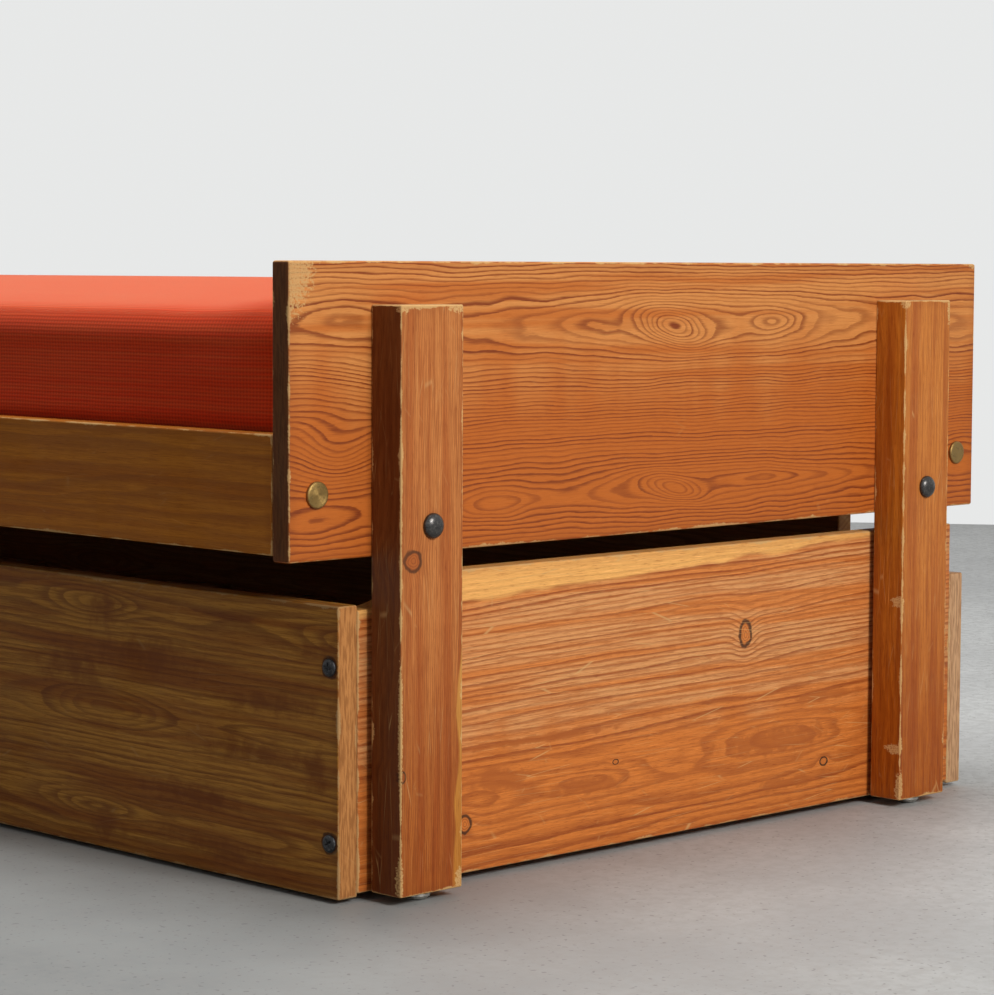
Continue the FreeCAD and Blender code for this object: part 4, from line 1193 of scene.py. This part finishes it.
def arc_profile(start: tuple[float, float], end: tuple[float, float], steps: int) -> Profile:
    """Points of a quarter ellipse from one profile point to another, the first left out.

    Args:
        start: Radius and height of the point where the arc leaves upwards.
        end: Radius and height of the point where it arrives level.
        steps: Number of points.

    Returns:
        The points.
    """
    (r0, h0), (r1, h1) = start, end
    angles = [math.pi / 2 * step / steps for step in range(1, steps + 1)]
    return [(r1 + (r0 - r1) * math.cos(angle), h0 + (h1 - h0) * math.sin(angle)) for angle in angles]


@dataclass(frozen=True)
class Shank:
    """A fastener's shank: its radius, its length from the head's top, and the length of its point."""

    radius: float
    length: float
    point: float = 0.0

    def profile(self, head: float) -> Profile:
        """Outline from the tip up to the underside of a head of this height."""
        return [(0.0, -self.length), (self.radius, self.point - self.length), (self.radius, -head)]


@dataclass(frozen=True)
class CrossRecess:
    """A cross pressed into a screw's head: half length and half width of an arm, and depth."""

    span: float
    width: float
    depth: float
    foot_share: float = 0.8
    brink_share: float = 1.25
    rise_share: float = 0.55
    end_share: float = 0.9
    end_depth_share: float = 0.3

    def press(self, mesh: bpy.types.Mesh, top: float) -> None:
        """Press the cross into a head.

        Args:
            mesh: The screw.
            top: Height above which the head is shaped.
        """
        foot, brink = self.width * self.foot_share, self.width * self.brink_share
        for vertex in mesh.vertices:
            x, y, z = abs(vertex.co.x), abs(vertex.co.y), vertex.co.z
            arm, reach = min(x, y), max(x, y)
            if z < top or arm >= brink or reach >= self.span:
                continue
            wall = 1.0 if arm < foot else (brink - arm) / (brink - foot)
            inside = reach < self.span * self.end_share
            slope = 1.0 - self.rise_share * reach / self.span if inside else self.end_depth_share
            vertex.co.z -= self.depth * wall * slope


@dataclass(frozen=True)
class Seat:
    """Where a fastener's head sits, the way it looks out, and how far it is turned."""

    place: Vector
    facing: Facing
    spin: float = 0.0


@functools.cache
def fastener_tree() -> bpy.types.NodeTree:
    """Geometry Nodes that put a fastener on every point, turned to its own aim and spin.

    Returns:
        A tree with the inputs Points, Fastener, Size and Finish.
    """
    takes = {"Points": "Geometry", "Fastener": "Object", "Size": "Float", "Finish": "Material"}
    loom, given, out = new_group("fasteners on points", takes, {"Fasteners": "Geometry"}, "GeometryNodeTree")
    named = "GeometryNodeInputNamedAttribute"
    aim = loom.wire(named, {"Name": "aim"}, "Attribute", data_type="FLOAT_VECTOR")
    spin = loom.wire(named, {"Name": "spin"}, "Attribute", data_type="FLOAT")
    fastener = loom.wire("GeometryNodeObjectInfo", {"Object": given["Fastener"]}, "Geometry")
    align = loom.wire("FunctionNodeAlignRotationToVector", {"Vector": aim}, axis="Z")
    twist = loom.wire("FunctionNodeAxisAngleToRotation", {"Axis": (0, 0, 1), "Angle": spin})
    turn = loom.wire("FunctionNodeRotateRotation", {"Rotation": align, "Rotate By": twist},
                     rotation_space="LOCAL")
    placed = loom.wire("GeometryNodeInstanceOnPoints", {
        "Points": given["Points"], "Instance": fastener, "Rotation": turn, "Scale": given["Size"]})
    real = loom.wire("GeometryNodeRealizeInstances", {"Geometry": placed})
    finished = loom.wire("GeometryNodeSetMaterial", {"Geometry": real, "Material": given["Finish"]})
    loom.feed(out["Fasteners"], finished)
    return loom.tree


@functools.cache
def slat_tree() -> bpy.types.NodeTree:
    """Geometry Nodes that lay a row of round-edged slats along the bed.

    Returns:
        A tree whose inputs are the slat's sizes, the count, the pitch, the first place and the finish.
    """
    takes = {"Slat Length": "Float", "Slat Width": "Float", "Slat Thickness": "Float", "Edge Round": "Float",
             "Count": "Int", "Pitch": "Float", "First Place": "Vector", "Finish": "Material"}
    loom, given, out = new_group("row of slats", takes, {"Slats": "Geometry"}, "GeometryNodeTree")
    section = loom.wire("GeometryNodeCurvePrimitiveQuadrilateral",
                        {"Width": given["Slat Width"], "Height": given["Slat Thickness"]})
    eased = loom.wire("GeometryNodeFilletCurve",
                      {"Curve": section, "Count": 3, "Radius": given["Edge Round"]}, mode="POLY")
    half = given["Slat Length"] * 0.5
    spine = loom.wire("GeometryNodeCurvePrimitiveLine",
                      {"Start": loom.join(0.0, half * -1.0, 0.0), "End": loom.join(0.0, half, 0.0)})
    slat = loom.wire("GeometryNodeCurveToMesh", {"Curve": spine, "Profile Curve": eased, "Fill Caps": True})
    line = loom.wire("GeometryNodeMeshLine", {
        "Count": given["Count"], "Start Location": given["First Place"],
        "Offset": loom.join(given["Pitch"], 0.0, 0.0)})
    placed = loom.wire("GeometryNodeInstanceOnPoints", {"Points": line, "Instance": slat})
    numbered = loom.wire("GeometryNodeStoreNamedAttribute", {
        "Geometry": placed, "Name": "board", "Value": loom.wire("GeometryNodeInputIndex")},
        data_type="FLOAT", domain="INSTANCE")
    real = loom.wire("GeometryNodeRealizeInstances", {"Geometry": numbered})
    finished = loom.wire("GeometryNodeSetMaterial", {"Geometry": real, "Material": given["Finish"]})
    loom.feed(out["Slats"], finished)
    return loom.tree


def grow(piece: bpy.types.Object, tree: bpy.types.NodeTree, inputs: dict[str, object]) -> None:
    """Run a Geometry Nodes tree on a piece and keep its result as a plain mesh.

    Args:
        piece: The piece that carries the tree.
        tree: The tree.
        inputs: Its inputs by socket name.
    """
    modifier = piece.modifiers.new(tree.name, "NODES")
    modifier.node_group = tree
    for item in tree.interface.items_tree:
        if item.in_out == "INPUT" and item.name in inputs:
            modifier[item.identifier] = inputs[item.name]
    bake(piece)


@dataclass
class Fasteners:
    """A set of equal fasteners that ride on one body and stand for one CAD node."""

    name: str
    node: str
    body: str
    slot: str
    mesh: bpy.types.Mesh
    finish: bpy.types.Material
    seats: list[Seat]

    def build(self) -> bpy.types.Object:
        """Place every fastener of the set.

        Returns:
            The piece.
        """
        points = bpy.data.meshes.new(f"{self.name}_points")
        points.from_pydata([seat.place for seat in self.seats], [], [])
        points.attributes.new("aim", "FLOAT_VECTOR", "POINT")
        points.attributes.new("spin", "FLOAT", "POINT")
        for index, seat in enumerate(self.seats):
            points.attributes["aim"].data[index].vector = seat.facing.value
            points.attributes["spin"].data[index].value = seat.spin
        model = add_piece(f"{self.name}_model", self.mesh)
        piece = add_piece(self.name, points)
        grow(piece, fastener_tree(), {"Fastener": model, "Size": 1.0, "Finish": self.finish})
        bpy.data.objects.remove(model)
        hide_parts(self.node)
        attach(piece, self.body)
        log.info("%s: %d fasteners, %d faces", self.name, len(self.seats), len(piece.data.polygons))
        return piece


def dress_node(node: str, material: bpy.types.Material) -> None:
    """Give a CAD node its material.

    Args:
        node: The node's name.
        material: Its new material.
    """
    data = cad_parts[node].data
    data.materials.clear()
    data.materials.append(material)


def dress_board(node: str, finish: Pine, seed: float = 0.0) -> None:
    """Give a CAD board its own pine, whose wear the seed moves about."""
    low, high = (Vector(corner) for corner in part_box(node))
    dress_node(node, replace(finish, name=node).material(low, high, seed))


# Sub-assemblies


@dataclass
class Timber:
    """The boards of both beds, which keep their CAD shapes. Lengths are in millimetres."""

    left_shift: float = 57.0
    post_shift: float = 300.0
    back_post_shift: float = 1500.0
    ledger_shift: float = 700.0
    ledger_seed: float = 19.0

    def dress(self) -> None:
        """Give every board a figure of its own."""
        left_panel = replace(PANEL_PINE, scuffs=(), mirror=-1.0, shift=self.left_shift)
        # Each board's node, its pine and the seed of its wear
        boards = (
            ("right_end_panel", PANEL_PINE, 3.0),
            ("left_end_panel", left_panel, 71.0),
            ("right_front_post", POST_PINE, 0.0),
            ("left_front_post", replace(POST_PINE, knots=(), scuffs=(), shift=self.post_shift), 41.0),
            ("right_back_post", BACK_POST_PINE, 17.0),
            ("left_back_post", replace(BACK_POST_PINE, scuffs=(), shift=self.back_post_shift), 29.0),
            ("front_rail", RAIL_PINE, 5.0),
            ("back_rail", replace(RAIL_PINE, mirror=-1.0), 61.0),
            ("pull_right_board", END_BOARD_PINE, 11.0),
            ("pull_left_board", replace(END_BOARD_PINE, mirror=-1.0, shift=-self.left_shift), 87.0),
            ("pull_front_board", FRONT_BOARD_PINE, 13.0),
            ("pull_back_board", BACK_BOARD_PINE, 47.0),
        )
        for node, finish, seed in boards:
            dress_board(node, finish, seed)
        ledgers = ("front_ledger", "back_ledger", "pull_front_ledger", "pull_back_ledger")
        for number, node in enumerate(ledgers):
            finish = replace(LEDGER_PINE, shift=self.ledger_shift * number)
            dress_board(node, finish, self.ledger_seed * number)
        dress_board("frame_dowels", BEECH)
        log.info("timber: %d boards and ledgers and the dowels dressed", len(boards) + len(ledgers))


@dataclass
class SlatRow:
    """A row of equal slats, laid by Geometry Nodes over the CAD slats."""

    name: str
    node_stem: str
    count: int
    body: str
    edge_round: float = 1.5 * MM

    def build(self) -> bpy.types.Object:
        """Lay the row where the CAD slats lie.

        Returns:
            The piece.
        """
        nodes = [f"{self.node_stem}_{number}" for number in range(1, self.count + 1)]
        low, high = (Vector(corner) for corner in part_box(nodes[0]))
        last_low, last_high = (Vector(corner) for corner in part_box(nodes[-1]))
        size = high - low
        piece = add_piece(self.name, bpy.data.meshes.new(self.name))
        grow(piece, slat_tree(), {
            "Slat Length": size.y, "Slat Width": size.x, "Slat Thickness": size.z,
            "Edge Round": self.edge_round, "Count": self.count,
            "Pitch": (last_low.x - low.x) / (self.count - 1), "First Place": (low + high) / 2,
            "Finish": PLAIN_PINE.material(low, Vector((last_high.x, high.y, high.z))),
        })
        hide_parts(*nodes)
        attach(piece, self.body)
        log.info("%s: %d slats, %d faces", self.name, self.count, len(piece.data.polygons))
        return piece


@dataclass
class MattressPad:
    """The wool mattress, filled out by a short cloth simulation over its CAD form."""

    voxel: float = 10.0 * MM
    shoulder: float = 24.0 * MM
    squareness: float = 2.4
    round_from: float = 0.2
    edge_drop: float = 17.0 * MM
    drop_power: float = 2.4
    end_drop_share: float = 0.5
    end_drop_power: int = 14
    crown_room: float = 2.5 * MM
    pressure: float = 2.4
    stretch_stiffness: float = 25.0
    bending_stiffness: float = 1.5
    frames: int = 14
    most_move: float = 4.0 * MM
    evening: int = 16
    clearance: float = 0.7 * MM
    give: float = 4.0 * MM

    def build(self) -> bpy.types.Object:
        """Make the mattress.

        Returns:
            The piece.
        """
        low, high = (Vector(corner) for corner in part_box("mattress"))
        piece = add_piece("mattress_pad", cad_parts["mattress"].data.copy())
        self.remesh(piece)
        self.crown(piece.data, low, high)
        self.fill(piece)
        self.keep_inside(piece.data, low, high)
        subdivide = piece.modifiers.new("smooth", "SUBSURF")
        subdivide.levels = subdivide.render_levels = 1
        piece.data.shade_smooth()
        piece.data.materials.clear()
        piece.data.materials.append(Wool().material())
        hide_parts("mattress")
        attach(piece, "bench")
        log.info("mattress: %d faces before subdivision", len(piece.data.polygons))
        return piece

    def remesh(self, piece: bpy.types.Object) -> None:
        """Turn the CAD triangles into an even closed mesh.

        Args:
            piece: The mattress as loose triangles.
        """
        shape = bmesh.new()
        shape.from_mesh(piece.data)
        bmesh.ops.remove_doubles(shape, verts=shape.verts, dist=0.01 * MM)
        shape.to_mesh(piece.data)
        shape.free()
        modifier = piece.modifiers.new("even", "REMESH")
        modifier.mode = "VOXEL"
        modifier.voxel_size = self.voxel
        bake(piece)

    def crown(self, mesh: bpy.types.Mesh, low: Vector, high: Vector) -> None:
        """Let the top fall towards the long edges, and tighten the shoulder there.

        Args:
            mesh: The remeshed mattress.
            low: Its lowest corner.
            high: Its highest corner.
        """
        start = high.z - self.shoulder
        inner = high.y - self.shoulder
        for vertex in mesh.vertices:
            x, y, z = vertex.co
            side = (abs(y) / high.y) ** self.drop_power
            end = (abs(x) / high.x) ** self.end_drop_power
            lift = self.crown_room * (1 - (abs(y) / high.y) ** 2)
            if z > start and abs(y) > inner:
                y, z = self.tighten(y, z, inner, start)
            drop = self.edge_drop * (side + (1 - side) * self.end_drop_share * end)
            share = min(1.0, max(0.0, (z - low.z) / (start - low.z)))
            vertex.co = (x, y, z - drop * share ** 2 + lift * share ** 3)

    def tighten(self, y: float, z: float, inner: float, start: float) -> tuple[float, float]:
        """Push a point of the rounded shoulder out towards the square corner.

        Args:
            y: The point's place across the bed.
            z: Its height.
            inner: Where the shoulder starts across the bed.
            start: Where it starts in height.

        Returns:
            The point's new place and height.
        """
        across = (abs(y) - inner) / self.shoulder
        up = (z - start) / self.shoulder
        reach = math.hypot(across, up)
        if reach <= self.round_from:
            return y, z
        angle = math.atan2(up, across)
        power = self.squareness
        square = (math.cos(angle) ** power + math.sin(angle) ** power) ** (-1 / power)
        across, up = (item * (1 + (square - 1) * reach ** 2) for item in (across, up))
        return math.copysign(inner + across * self.shoulder, y), start + up * self.shoulder

    def fill(self, piece: bpy.types.Object) -> None:
        """Blow the cover out a little from inside, then even out and limit how far each point moves.

        Args:
            piece: The crowned mattress.
        """
        before = [vertex.co.copy() for vertex in piece.data.vertices]
        modifier = piece.modifiers.new("filling", "CLOTH")
        cloth = modifier.settings
        cloth.use_pressure = True
        cloth.uniform_pressure_force = self.pressure
        cloth.effector_weights.gravity = 0.0
        cloth.tension_stiffness = cloth.compression_stiffness = self.stretch_stiffness
        cloth.bending_stiffness = self.bending_stiffness
        modifier.point_cache.frame_start = 1
        modifier.point_cache.frame_end = self.frames
        scene = bpy.context.scene
        for number in range(1, self.frames + 1):
            scene.frame_set(number)
        bake(piece)
        scene.frame_set(1)
        vertices = piece.data.vertices
        moves = self.even_out(piece.data, [vertex.co - start for vertex, start in zip(vertices, before)])
        for vertex, start, move in zip(vertices, before, moves):
            if move.length:
                move = move.normalized() * (self.most_move * math.tanh(move.length / self.most_move))
            vertex.co = start + move

    def even_out(self, mesh: bpy.types.Mesh, moves: list[Vector]) -> list[Vector]:
        """Average every point's move with its neighbours' moves, so that no crease is left.

        Args:
            mesh: The mesh that the points belong to.
            moves: Each point's move.

        Returns:
            The evened moves.
        """
        edges = [tuple(edge.vertices) for edge in mesh.edges]
        for _ in range(self.evening):
            totals = [move.copy() for move in moves]
            counts = [1] * len(moves)
            for first, second in edges:
                totals[first] += moves[second]
                totals[second] += moves[first]
                counts[first] += 1
                counts[second] += 1
            moves = [total / count for total, count in zip(totals, counts)]
        return moves

    def keep_inside(self, mesh: bpy.types.Mesh, low: Vector, high: Vector) -> None:
        """Press the pad softly flat at its sides and ends, and hold its height.

        Args:
            mesh: The filled mattress.
            low: The CAD mattress's lowest corner.
            high: Its highest corner.
        """
        middle = (low + high) / 2
        for vertex in mesh.vertices:
            for axis in (0, 1):
                most = (high[axis] - low[axis]) / 2 + self.clearance
                away = vertex.co[axis] - middle[axis]
                past = abs(away) - (most - self.give)
                if past > 0:
                    held = most - self.give * math.exp(-past / self.give)
                    vertex.co[axis] = middle[axis] + math.copysign(held, away)
            vertex.co.z = min(max(vertex.co.z, low.z), high.z + self.crown_room)


@dataclass
class Hardware:
    """Bolts, screws, glides and castors; a brass disc's edge is given as steps inwards and down."""

    bevel: float = 0.4 * MM
    dome_sides: int = 40
    dome_steps: int = 12
    dome_radius: float = 11.0 * MM
    dome_height: float = 7.0 * MM
    dome_brim: float = 1.2 * MM
    dome_crown: float = 2.2 * MM
    dome_flat: float = 0.1 * MM
    dome_shank: Shank = Shank(4.0 * MM, 73.0 * MM)
    disc_sides: int = 56
    disc_radius: float = 11.5 * MM
    disc_height: float = 3.0 * MM
    disc_edge: tuple[tuple[float, float], ...] = (
        (0.0, 0.9 * MM), (0.3 * MM, 0.4 * MM), (0.9 * MM, 0.1 * MM), (1.4 * MM, 0.0))
    disc_dish: float = 0.1 * MM
    disc_dish_shares: tuple[float, ...] = (0.75, 0.5, 0.25, 0.0)
    disc_shank: Shank = Shank(3.0 * MM, 55.0 * MM)
    screw_sides: int = 72
    screw_steps: int = 5
    screw_radius: float = 7.75 * MM
    screw_height: float = 3.0 * MM
    screw_brim: float = 1.0 * MM
    screw_crown: float = 0.2 * MM
    screw_crown_shares: tuple[float, ...] = (0.55, 0.5, 0.42, 0.34, 0.27, 0.2, 0.13, 0.07, 0.0)
    screw_shaped: float = 0.8 * MM
    screw_first_spin: float = 0.35
    screw_spin: float = 0.9
    screw_shank: Shank = Shank(2.5 * MM, 63.0 * MM, 4.0 * MM)
    screw_cross: CrossRecess = CrossRecess(4.3 * MM, 0.9 * MM, 2.4 * MM)
    slat_screw_sides: int = 28
    slat_screw_radius: float = 4.25 * MM
    slat_screw_sink: float = 2.0 * MM
    slat_screw_crown: float = 0.3 * MM
    slat_screw_bevel: float = 0.2 * MM
    slat_screw_crown_shares: tuple[float, ...] = (0.7, 0.5, 0.35, 0.2, 0.0)
    slat_screw_shaped: float = 0.1 * MM
    slat_screw_spin: float = 0.7
    slat_screw_shank: Shank = Shank(2.25 * MM, 40.0 * MM, 4.0 * MM)
    slat_screw_cross: CrossRecess = CrossRecess(2.3 * MM, 0.6 * MM, 1.4 * MM)

    def build(self) -> None:
        """Make every fastener and dress the metal and nylon parts that keep their CAD shapes."""
        self.post_bolts()
        self.rail_discs()
        self.corner_screws()
        self.slat_screws("bed_slat_screws", "bed_slat", BED_SLATS, "front_ledger", "bench")
        self.slat_screws("pull_slat_screws", "pull_slat", PULL_SLATS, "pull_front_ledger", "lower_bed")
        zinc = ZINC.material()
        for node in ("post_bolt_washers", "post_bolt_nuts", "barrel_nuts", "castor_brackets", "castor_axles",
                     "castor_screws", "ledger_screws", "pull_ledger_screws"):
            dress_node(node, zinc)
        dress_node("post_glides", NICKEL.material())
        nylon = NYLON.material()
        for end in ("right", "left"):
            for side in ("front", "back"):
                dress_node(f"{end}_{side}_wheel", nylon)

    def end_seats(self, node: str, radius: float) -> list[Seat]:
        """Seats of a node's four heads on the outside of the two ends.

        Args:
            node: The CAD node whose box holds the heads' outer limits.
            radius: The heads' radius.

        Returns:
            Four seats, at the outermost points of the heads.
        """
        low, high = (Vector(corner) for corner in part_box(node))
        up = (low.z + high.z) / 2
        return [Seat(Vector((x, y, up)), facing)
                for x, facing in ((high.x, Facing.END), (low.x, Facing.OTHER_END))
                for y in (low.y + radius, high.y - radius)]

    def post_bolts(self) -> None:
        """Dome-headed bolts through the posts, tip of the dome at the seat."""
        radius, height, bevel = self.dome_radius, self.dome_height, self.bevel
        brim = (radius, self.dome_brim - height)
        profile = self.dome_shank.profile(height)
        profile += [(radius - bevel, -height), (radius, bevel - height), brim]
        profile += arc_profile(brim, (self.dome_crown, -self.dome_flat), self.dome_steps) + [(0.0, 0.0)]
        mesh = turned_mesh("dome bolt", profile, self.dome_sides)
        seats = self.end_seats("post_bolts", radius)
        steel = BLACK_STEEL.material()
        Fasteners("dome_bolts", "post_bolts", "bench", "black_steel", mesh, steel, seats).build()

    def rail_discs(self) -> None:
        """Flat brass-headed bolts, with a soft bevel and a shallow dish."""
        radius, height = self.disc_radius, self.disc_height
        profile = self.disc_shank.profile(height) + [(radius, -height)]
        profile += [(radius - inwards, -down) for inwards, down in self.disc_edge]
        profile += [(radius * share, -self.disc_dish) for share in self.disc_dish_shares]
        mesh = turned_mesh("brass disc", profile, self.disc_sides)
        seats = self.end_seats("rail_bolts", radius)
        brass = TurnedBrass(Vector((0, max(seat.place.y for seat in seats), seats[0].place.z))).material()
        Fasteners("brass_discs", "rail_bolts", "bench", "brass", mesh, brass, seats).build()

    def corner_screws(self) -> None:
        """Cross-recess screws at the lower bed's corners."""
        radius, height, crown = self.screw_radius, self.screw_height, self.screw_crown
        brim = (radius, self.screw_brim - height)
        profile = self.screw_shank.profile(height) + [(radius, -height), brim]
        profile += arc_profile(brim, (radius * 0.6, -crown), self.screw_steps)
        profile += [(radius * share, -crown * share) for share in self.screw_crown_shares]
        mesh = turned_mesh("corner screw", profile, self.screw_sides)
        self.screw_cross.press(mesh, -self.screw_shaped)
        low, high = (Vector(corner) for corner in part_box("corner_screws"))
        places = [(x, y, z, facing)
                  for y, facing in ((low.y, Facing.FRONT), (high.y, Facing.BACK))
                  for x in (low.x + radius, high.x - radius)
                  for z in (low.z + radius, high.z - radius)]
        seats = [Seat(Vector((x, y, z)), facing, self.screw_first_spin + self.screw_spin * number)
                 for number, (x, y, z, facing) in enumerate(places)]
        Fasteners("corner_screw_heads", "corner_screws", "lower_bed", "black_steel", mesh,
                  SCREW_STEEL.material(), seats).build()

    def slat_screws(self, node: str, slat_stem: str, count: int, ledger: str, body: str) -> None:
        """Countersunk screws that hold a row of slats on two ledgers.

        Args:
            node: The CAD node of the screws.
            slat_stem: The start of the slats' names.
            count: Number of slats.
            ledger: The front ledger under them.
            body: The body that they ride on.
        """
        radius, crown = self.slat_screw_radius, self.slat_screw_crown
        profile = self.slat_screw_shank.profile(self.slat_screw_sink)
        profile += [(radius, 0.0), (radius - self.slat_screw_bevel, crown)]
        profile += [(radius * share, crown) for share in self.slat_screw_crown_shares]
        mesh = turned_mesh(f"{node} screw", profile, self.slat_screw_sides)
        self.slat_screw_cross.press(mesh, self.slat_screw_shaped)
        ledger_low, ledger_high = (Vector(corner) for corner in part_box(ledger))
        screw_low, screw_high = (Vector(corner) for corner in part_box(node))
        front = (ledger_low.y + ledger_high.y) / 2
        back = screw_low.y + screw_high.y - front
        seats = []
        for number in range(1, count + 1):
            low, high = (Vector(corner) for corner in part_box(f"{slat_stem}_{number}"))
            for y in (front, back):
                place = Vector(((low.x + high.x) / 2, y, high.z))
                seats.append(Seat(place, Facing.UP, self.slat_screw_spin * len(seats)))
        Fasteners(f"{node}_heads", node, body, "zinc_steel", mesh, ZINC.material(), seats).build()


# Studio


@dataclass(frozen=True)
class Lamp:
    """One soft square lamp, with its size in metres."""

    name: str
    place: Vector
    target: Vector
    size: float
    watts: float
    colour: Colour = (1.0, 1.0, 1.0)

    def hang(self) -> None:
        """Put the lamp in the scene, turned towards its target."""
        data = bpy.data.lights.new(self.name, "AREA")
        data.shape = "SQUARE"
        data.size = self.size
        data.energy = self.watts
        data.color = self.colour
        lamp = bpy.data.objects.new(self.name, data)
        lamp.location = self.place
        lamp.rotation_euler = (self.target - self.place).to_track_quat("-Z", "Y").to_euler()
        bpy.context.scene.collection.objects.link(lamp)


LAMPS = (
    Lamp("key", Vector((3.5, -0.36, 1.65)), Vector((1.05, -0.05, 0.25)), 0.9, 64.0, (1.0, 0.985, 0.96)),
    Lamp("top", Vector((0.4, -0.20, 2.7)), Vector((0.3, 0.0, 0.5)), 1.3, 50.0),
    Lamp("far_fill", Vector((-3.3, 1.3, 1.9)), Vector((-0.8, 0.1, 0.3)), 1.6, 42.0),
)


@dataclass(frozen=True)
class Concrete:
    """A pale floor, faintly mottled and specked, with painted shade in front of the bed and painted light
    behind it.
    """

    dark: Colour = (0.36, 0.357, 0.347)
    pale: Colour = (0.43, 0.427, 0.412)
    speck: Colour = (0.30, 0.297, 0.288)
    grit: Colour = (0.16, 0.155, 0.15)
    near_painted_shade: Colour = (0.64, 0.67, 0.68)
    far_painted_light: Colour = (1.44, 1.47, 1.50)

    def material(self) -> bpy.types.Material:
        """Build the floor's material.

        Returns:
            The finished material.
        """
        material, loom = new_material("pale concrete")
        place = place_in_mm(loom)
        cloud = loom.noise(place, 0.0035, 3.0, 0.6)
        speck = loom.noise(place, 0.07, 3.0, 0.72)
        grit = loom.smooth(loom.noise(place, 0.16, 1.0, 0.5), 0.70, 0.78)
        x, y, _ = loom.split(place)
        # painted shade in front of the bed, fading to painted light behind it
        far = loom.smooth(x * 0.4 + y, -800.0, 2000.0)
        colour = loom.mix(loom.smooth(cloud, 0.3, 0.7), self.dark, self.pale)
        colour = loom.tint(colour, loom.mix(far, self.near_painted_shade, self.far_painted_light))
        colour = loom.mix(loom.smooth(speck, 0.35, 0.7) * 0.45, colour, self.speck)
        colour = loom.mix(grit * 0.6, colour, self.grit)
        loom.surface(colour, 0.55, loom.bump(speck, 0.15, 1.0 * MM))
        return material


@dataclass(frozen=True)
class Studio:
    """The camera at the photograph's angle, a pale floor and soft light."""

    camera_place: Vector = Vector((2.918, -2.099, 0.546))
    azimuth: float = math.radians(45.4)
    elevation: float = math.radians(4.4)
    roll: float = math.radians(0.22)
    focal_pixels: float = 3009.0
    sensor: float = 36.0
    clip_end: float = 60.0
    floor_centre: Vector = Vector((4.42, -4.12, 0.0))
    floor_radius: float = 9.0
    floor_sides: int = 256
    ambient: Colour = (0.17, 0.17, 0.17)
    backdrop: Colour = (0.80, 0.808, 0.804)

    def build(self) -> None:
        """Set up the camera, the light and the floor."""
        self.aim_camera()
        self.light()
        self.lay_floor()
        bpy.context.scene.view_settings.view_transform = "Standard"

    def aim_camera(self) -> None:
        """Place the camera as the photograph's own edges give it."""
        data = bpy.data.cameras.new("photo_camera")
        data.sensor_fit = "HORIZONTAL"
        data.sensor_width = self.sensor
        data.lens = self.focal_pixels / PHOTO_WIDTH * self.sensor
        data.clip_end = self.clip_end
        camera = bpy.data.objects.new("photo_camera", data)
        bpy.context.scene.collection.objects.link(camera)
        level, rise = math.cos(self.elevation), math.sin(self.elevation)
        back = Vector((math.sin(self.azimuth) * level, -math.cos(self.azimuth) * level, rise))
        right = (-back).cross(Vector((0, 0, 1))).normalized()
        up = back.cross(right)
        across = right * math.cos(self.roll) + up * math.sin(self.roll)
        above = up * math.cos(self.roll) - right * math.sin(self.roll)
        turn = Matrix((across, above, back)).transposed().to_4x4()
        camera.matrix_world = Matrix.Translation(self.camera_place) @ turn
        bpy.context.scene.camera = camera

    def light(self) -> None:
        """Hang the lamps and set an even grey world, paler where it is seen directly."""
        for lamp in LAMPS:
            lamp.hang()
        world = bpy.data.worlds.new("studio")
        bpy.context.scene.world = world
        world.use_nodes = True
        world.node_tree.nodes.clear()
        loom = Loom(world.node_tree)
        path = loom.node("ShaderNodeLightPath")
        camera, glossy, through = (Wire(loom, path.outputs[f"Is {ray} Ray"])
                                   for ray in ("Camera", "Glossy", "Transmission"))
        seen = loom.math("MAXIMUM", camera, loom.math("MAXIMUM", glossy, through))
        colour = loom.mix(seen, self.ambient, self.backdrop)
        background = loom.wire("ShaderNodeBackground", {"Color": colour})
        loom.node("ShaderNodeOutputWorld", {"Surface": background})

    def lay_floor(self) -> None:
        """Lay the round floor."""
        shape = bmesh.new()
        bmesh.ops.create_circle(shape, cap_ends=True, radius=self.floor_radius, segments=self.floor_sides,
                                matrix=Matrix.Translation(self.floor_centre))
        mesh = bpy.data.meshes.new("studio_floor")
        shape.to_mesh(mesh)
        shape.free()
        mesh.materials.append(Concrete().material())
        floor = add_piece("studio_floor", mesh)


def main() -> None:
    """Build the studio and every piece of the two beds, in order."""
    logging.basicConfig(level=logging.INFO, format="%(name)s: %(message)s")
    Studio().build()
    Timber().dress()
    SlatRow("bed_slat_row", "bed_slat", BED_SLATS, "bench").build()
    SlatRow("pull_slat_row", "pull_slat", PULL_SLATS, "lower_bed").build()
    Hardware().build()
    MattressPad().build()


if __name__ == "__main__":
    main()
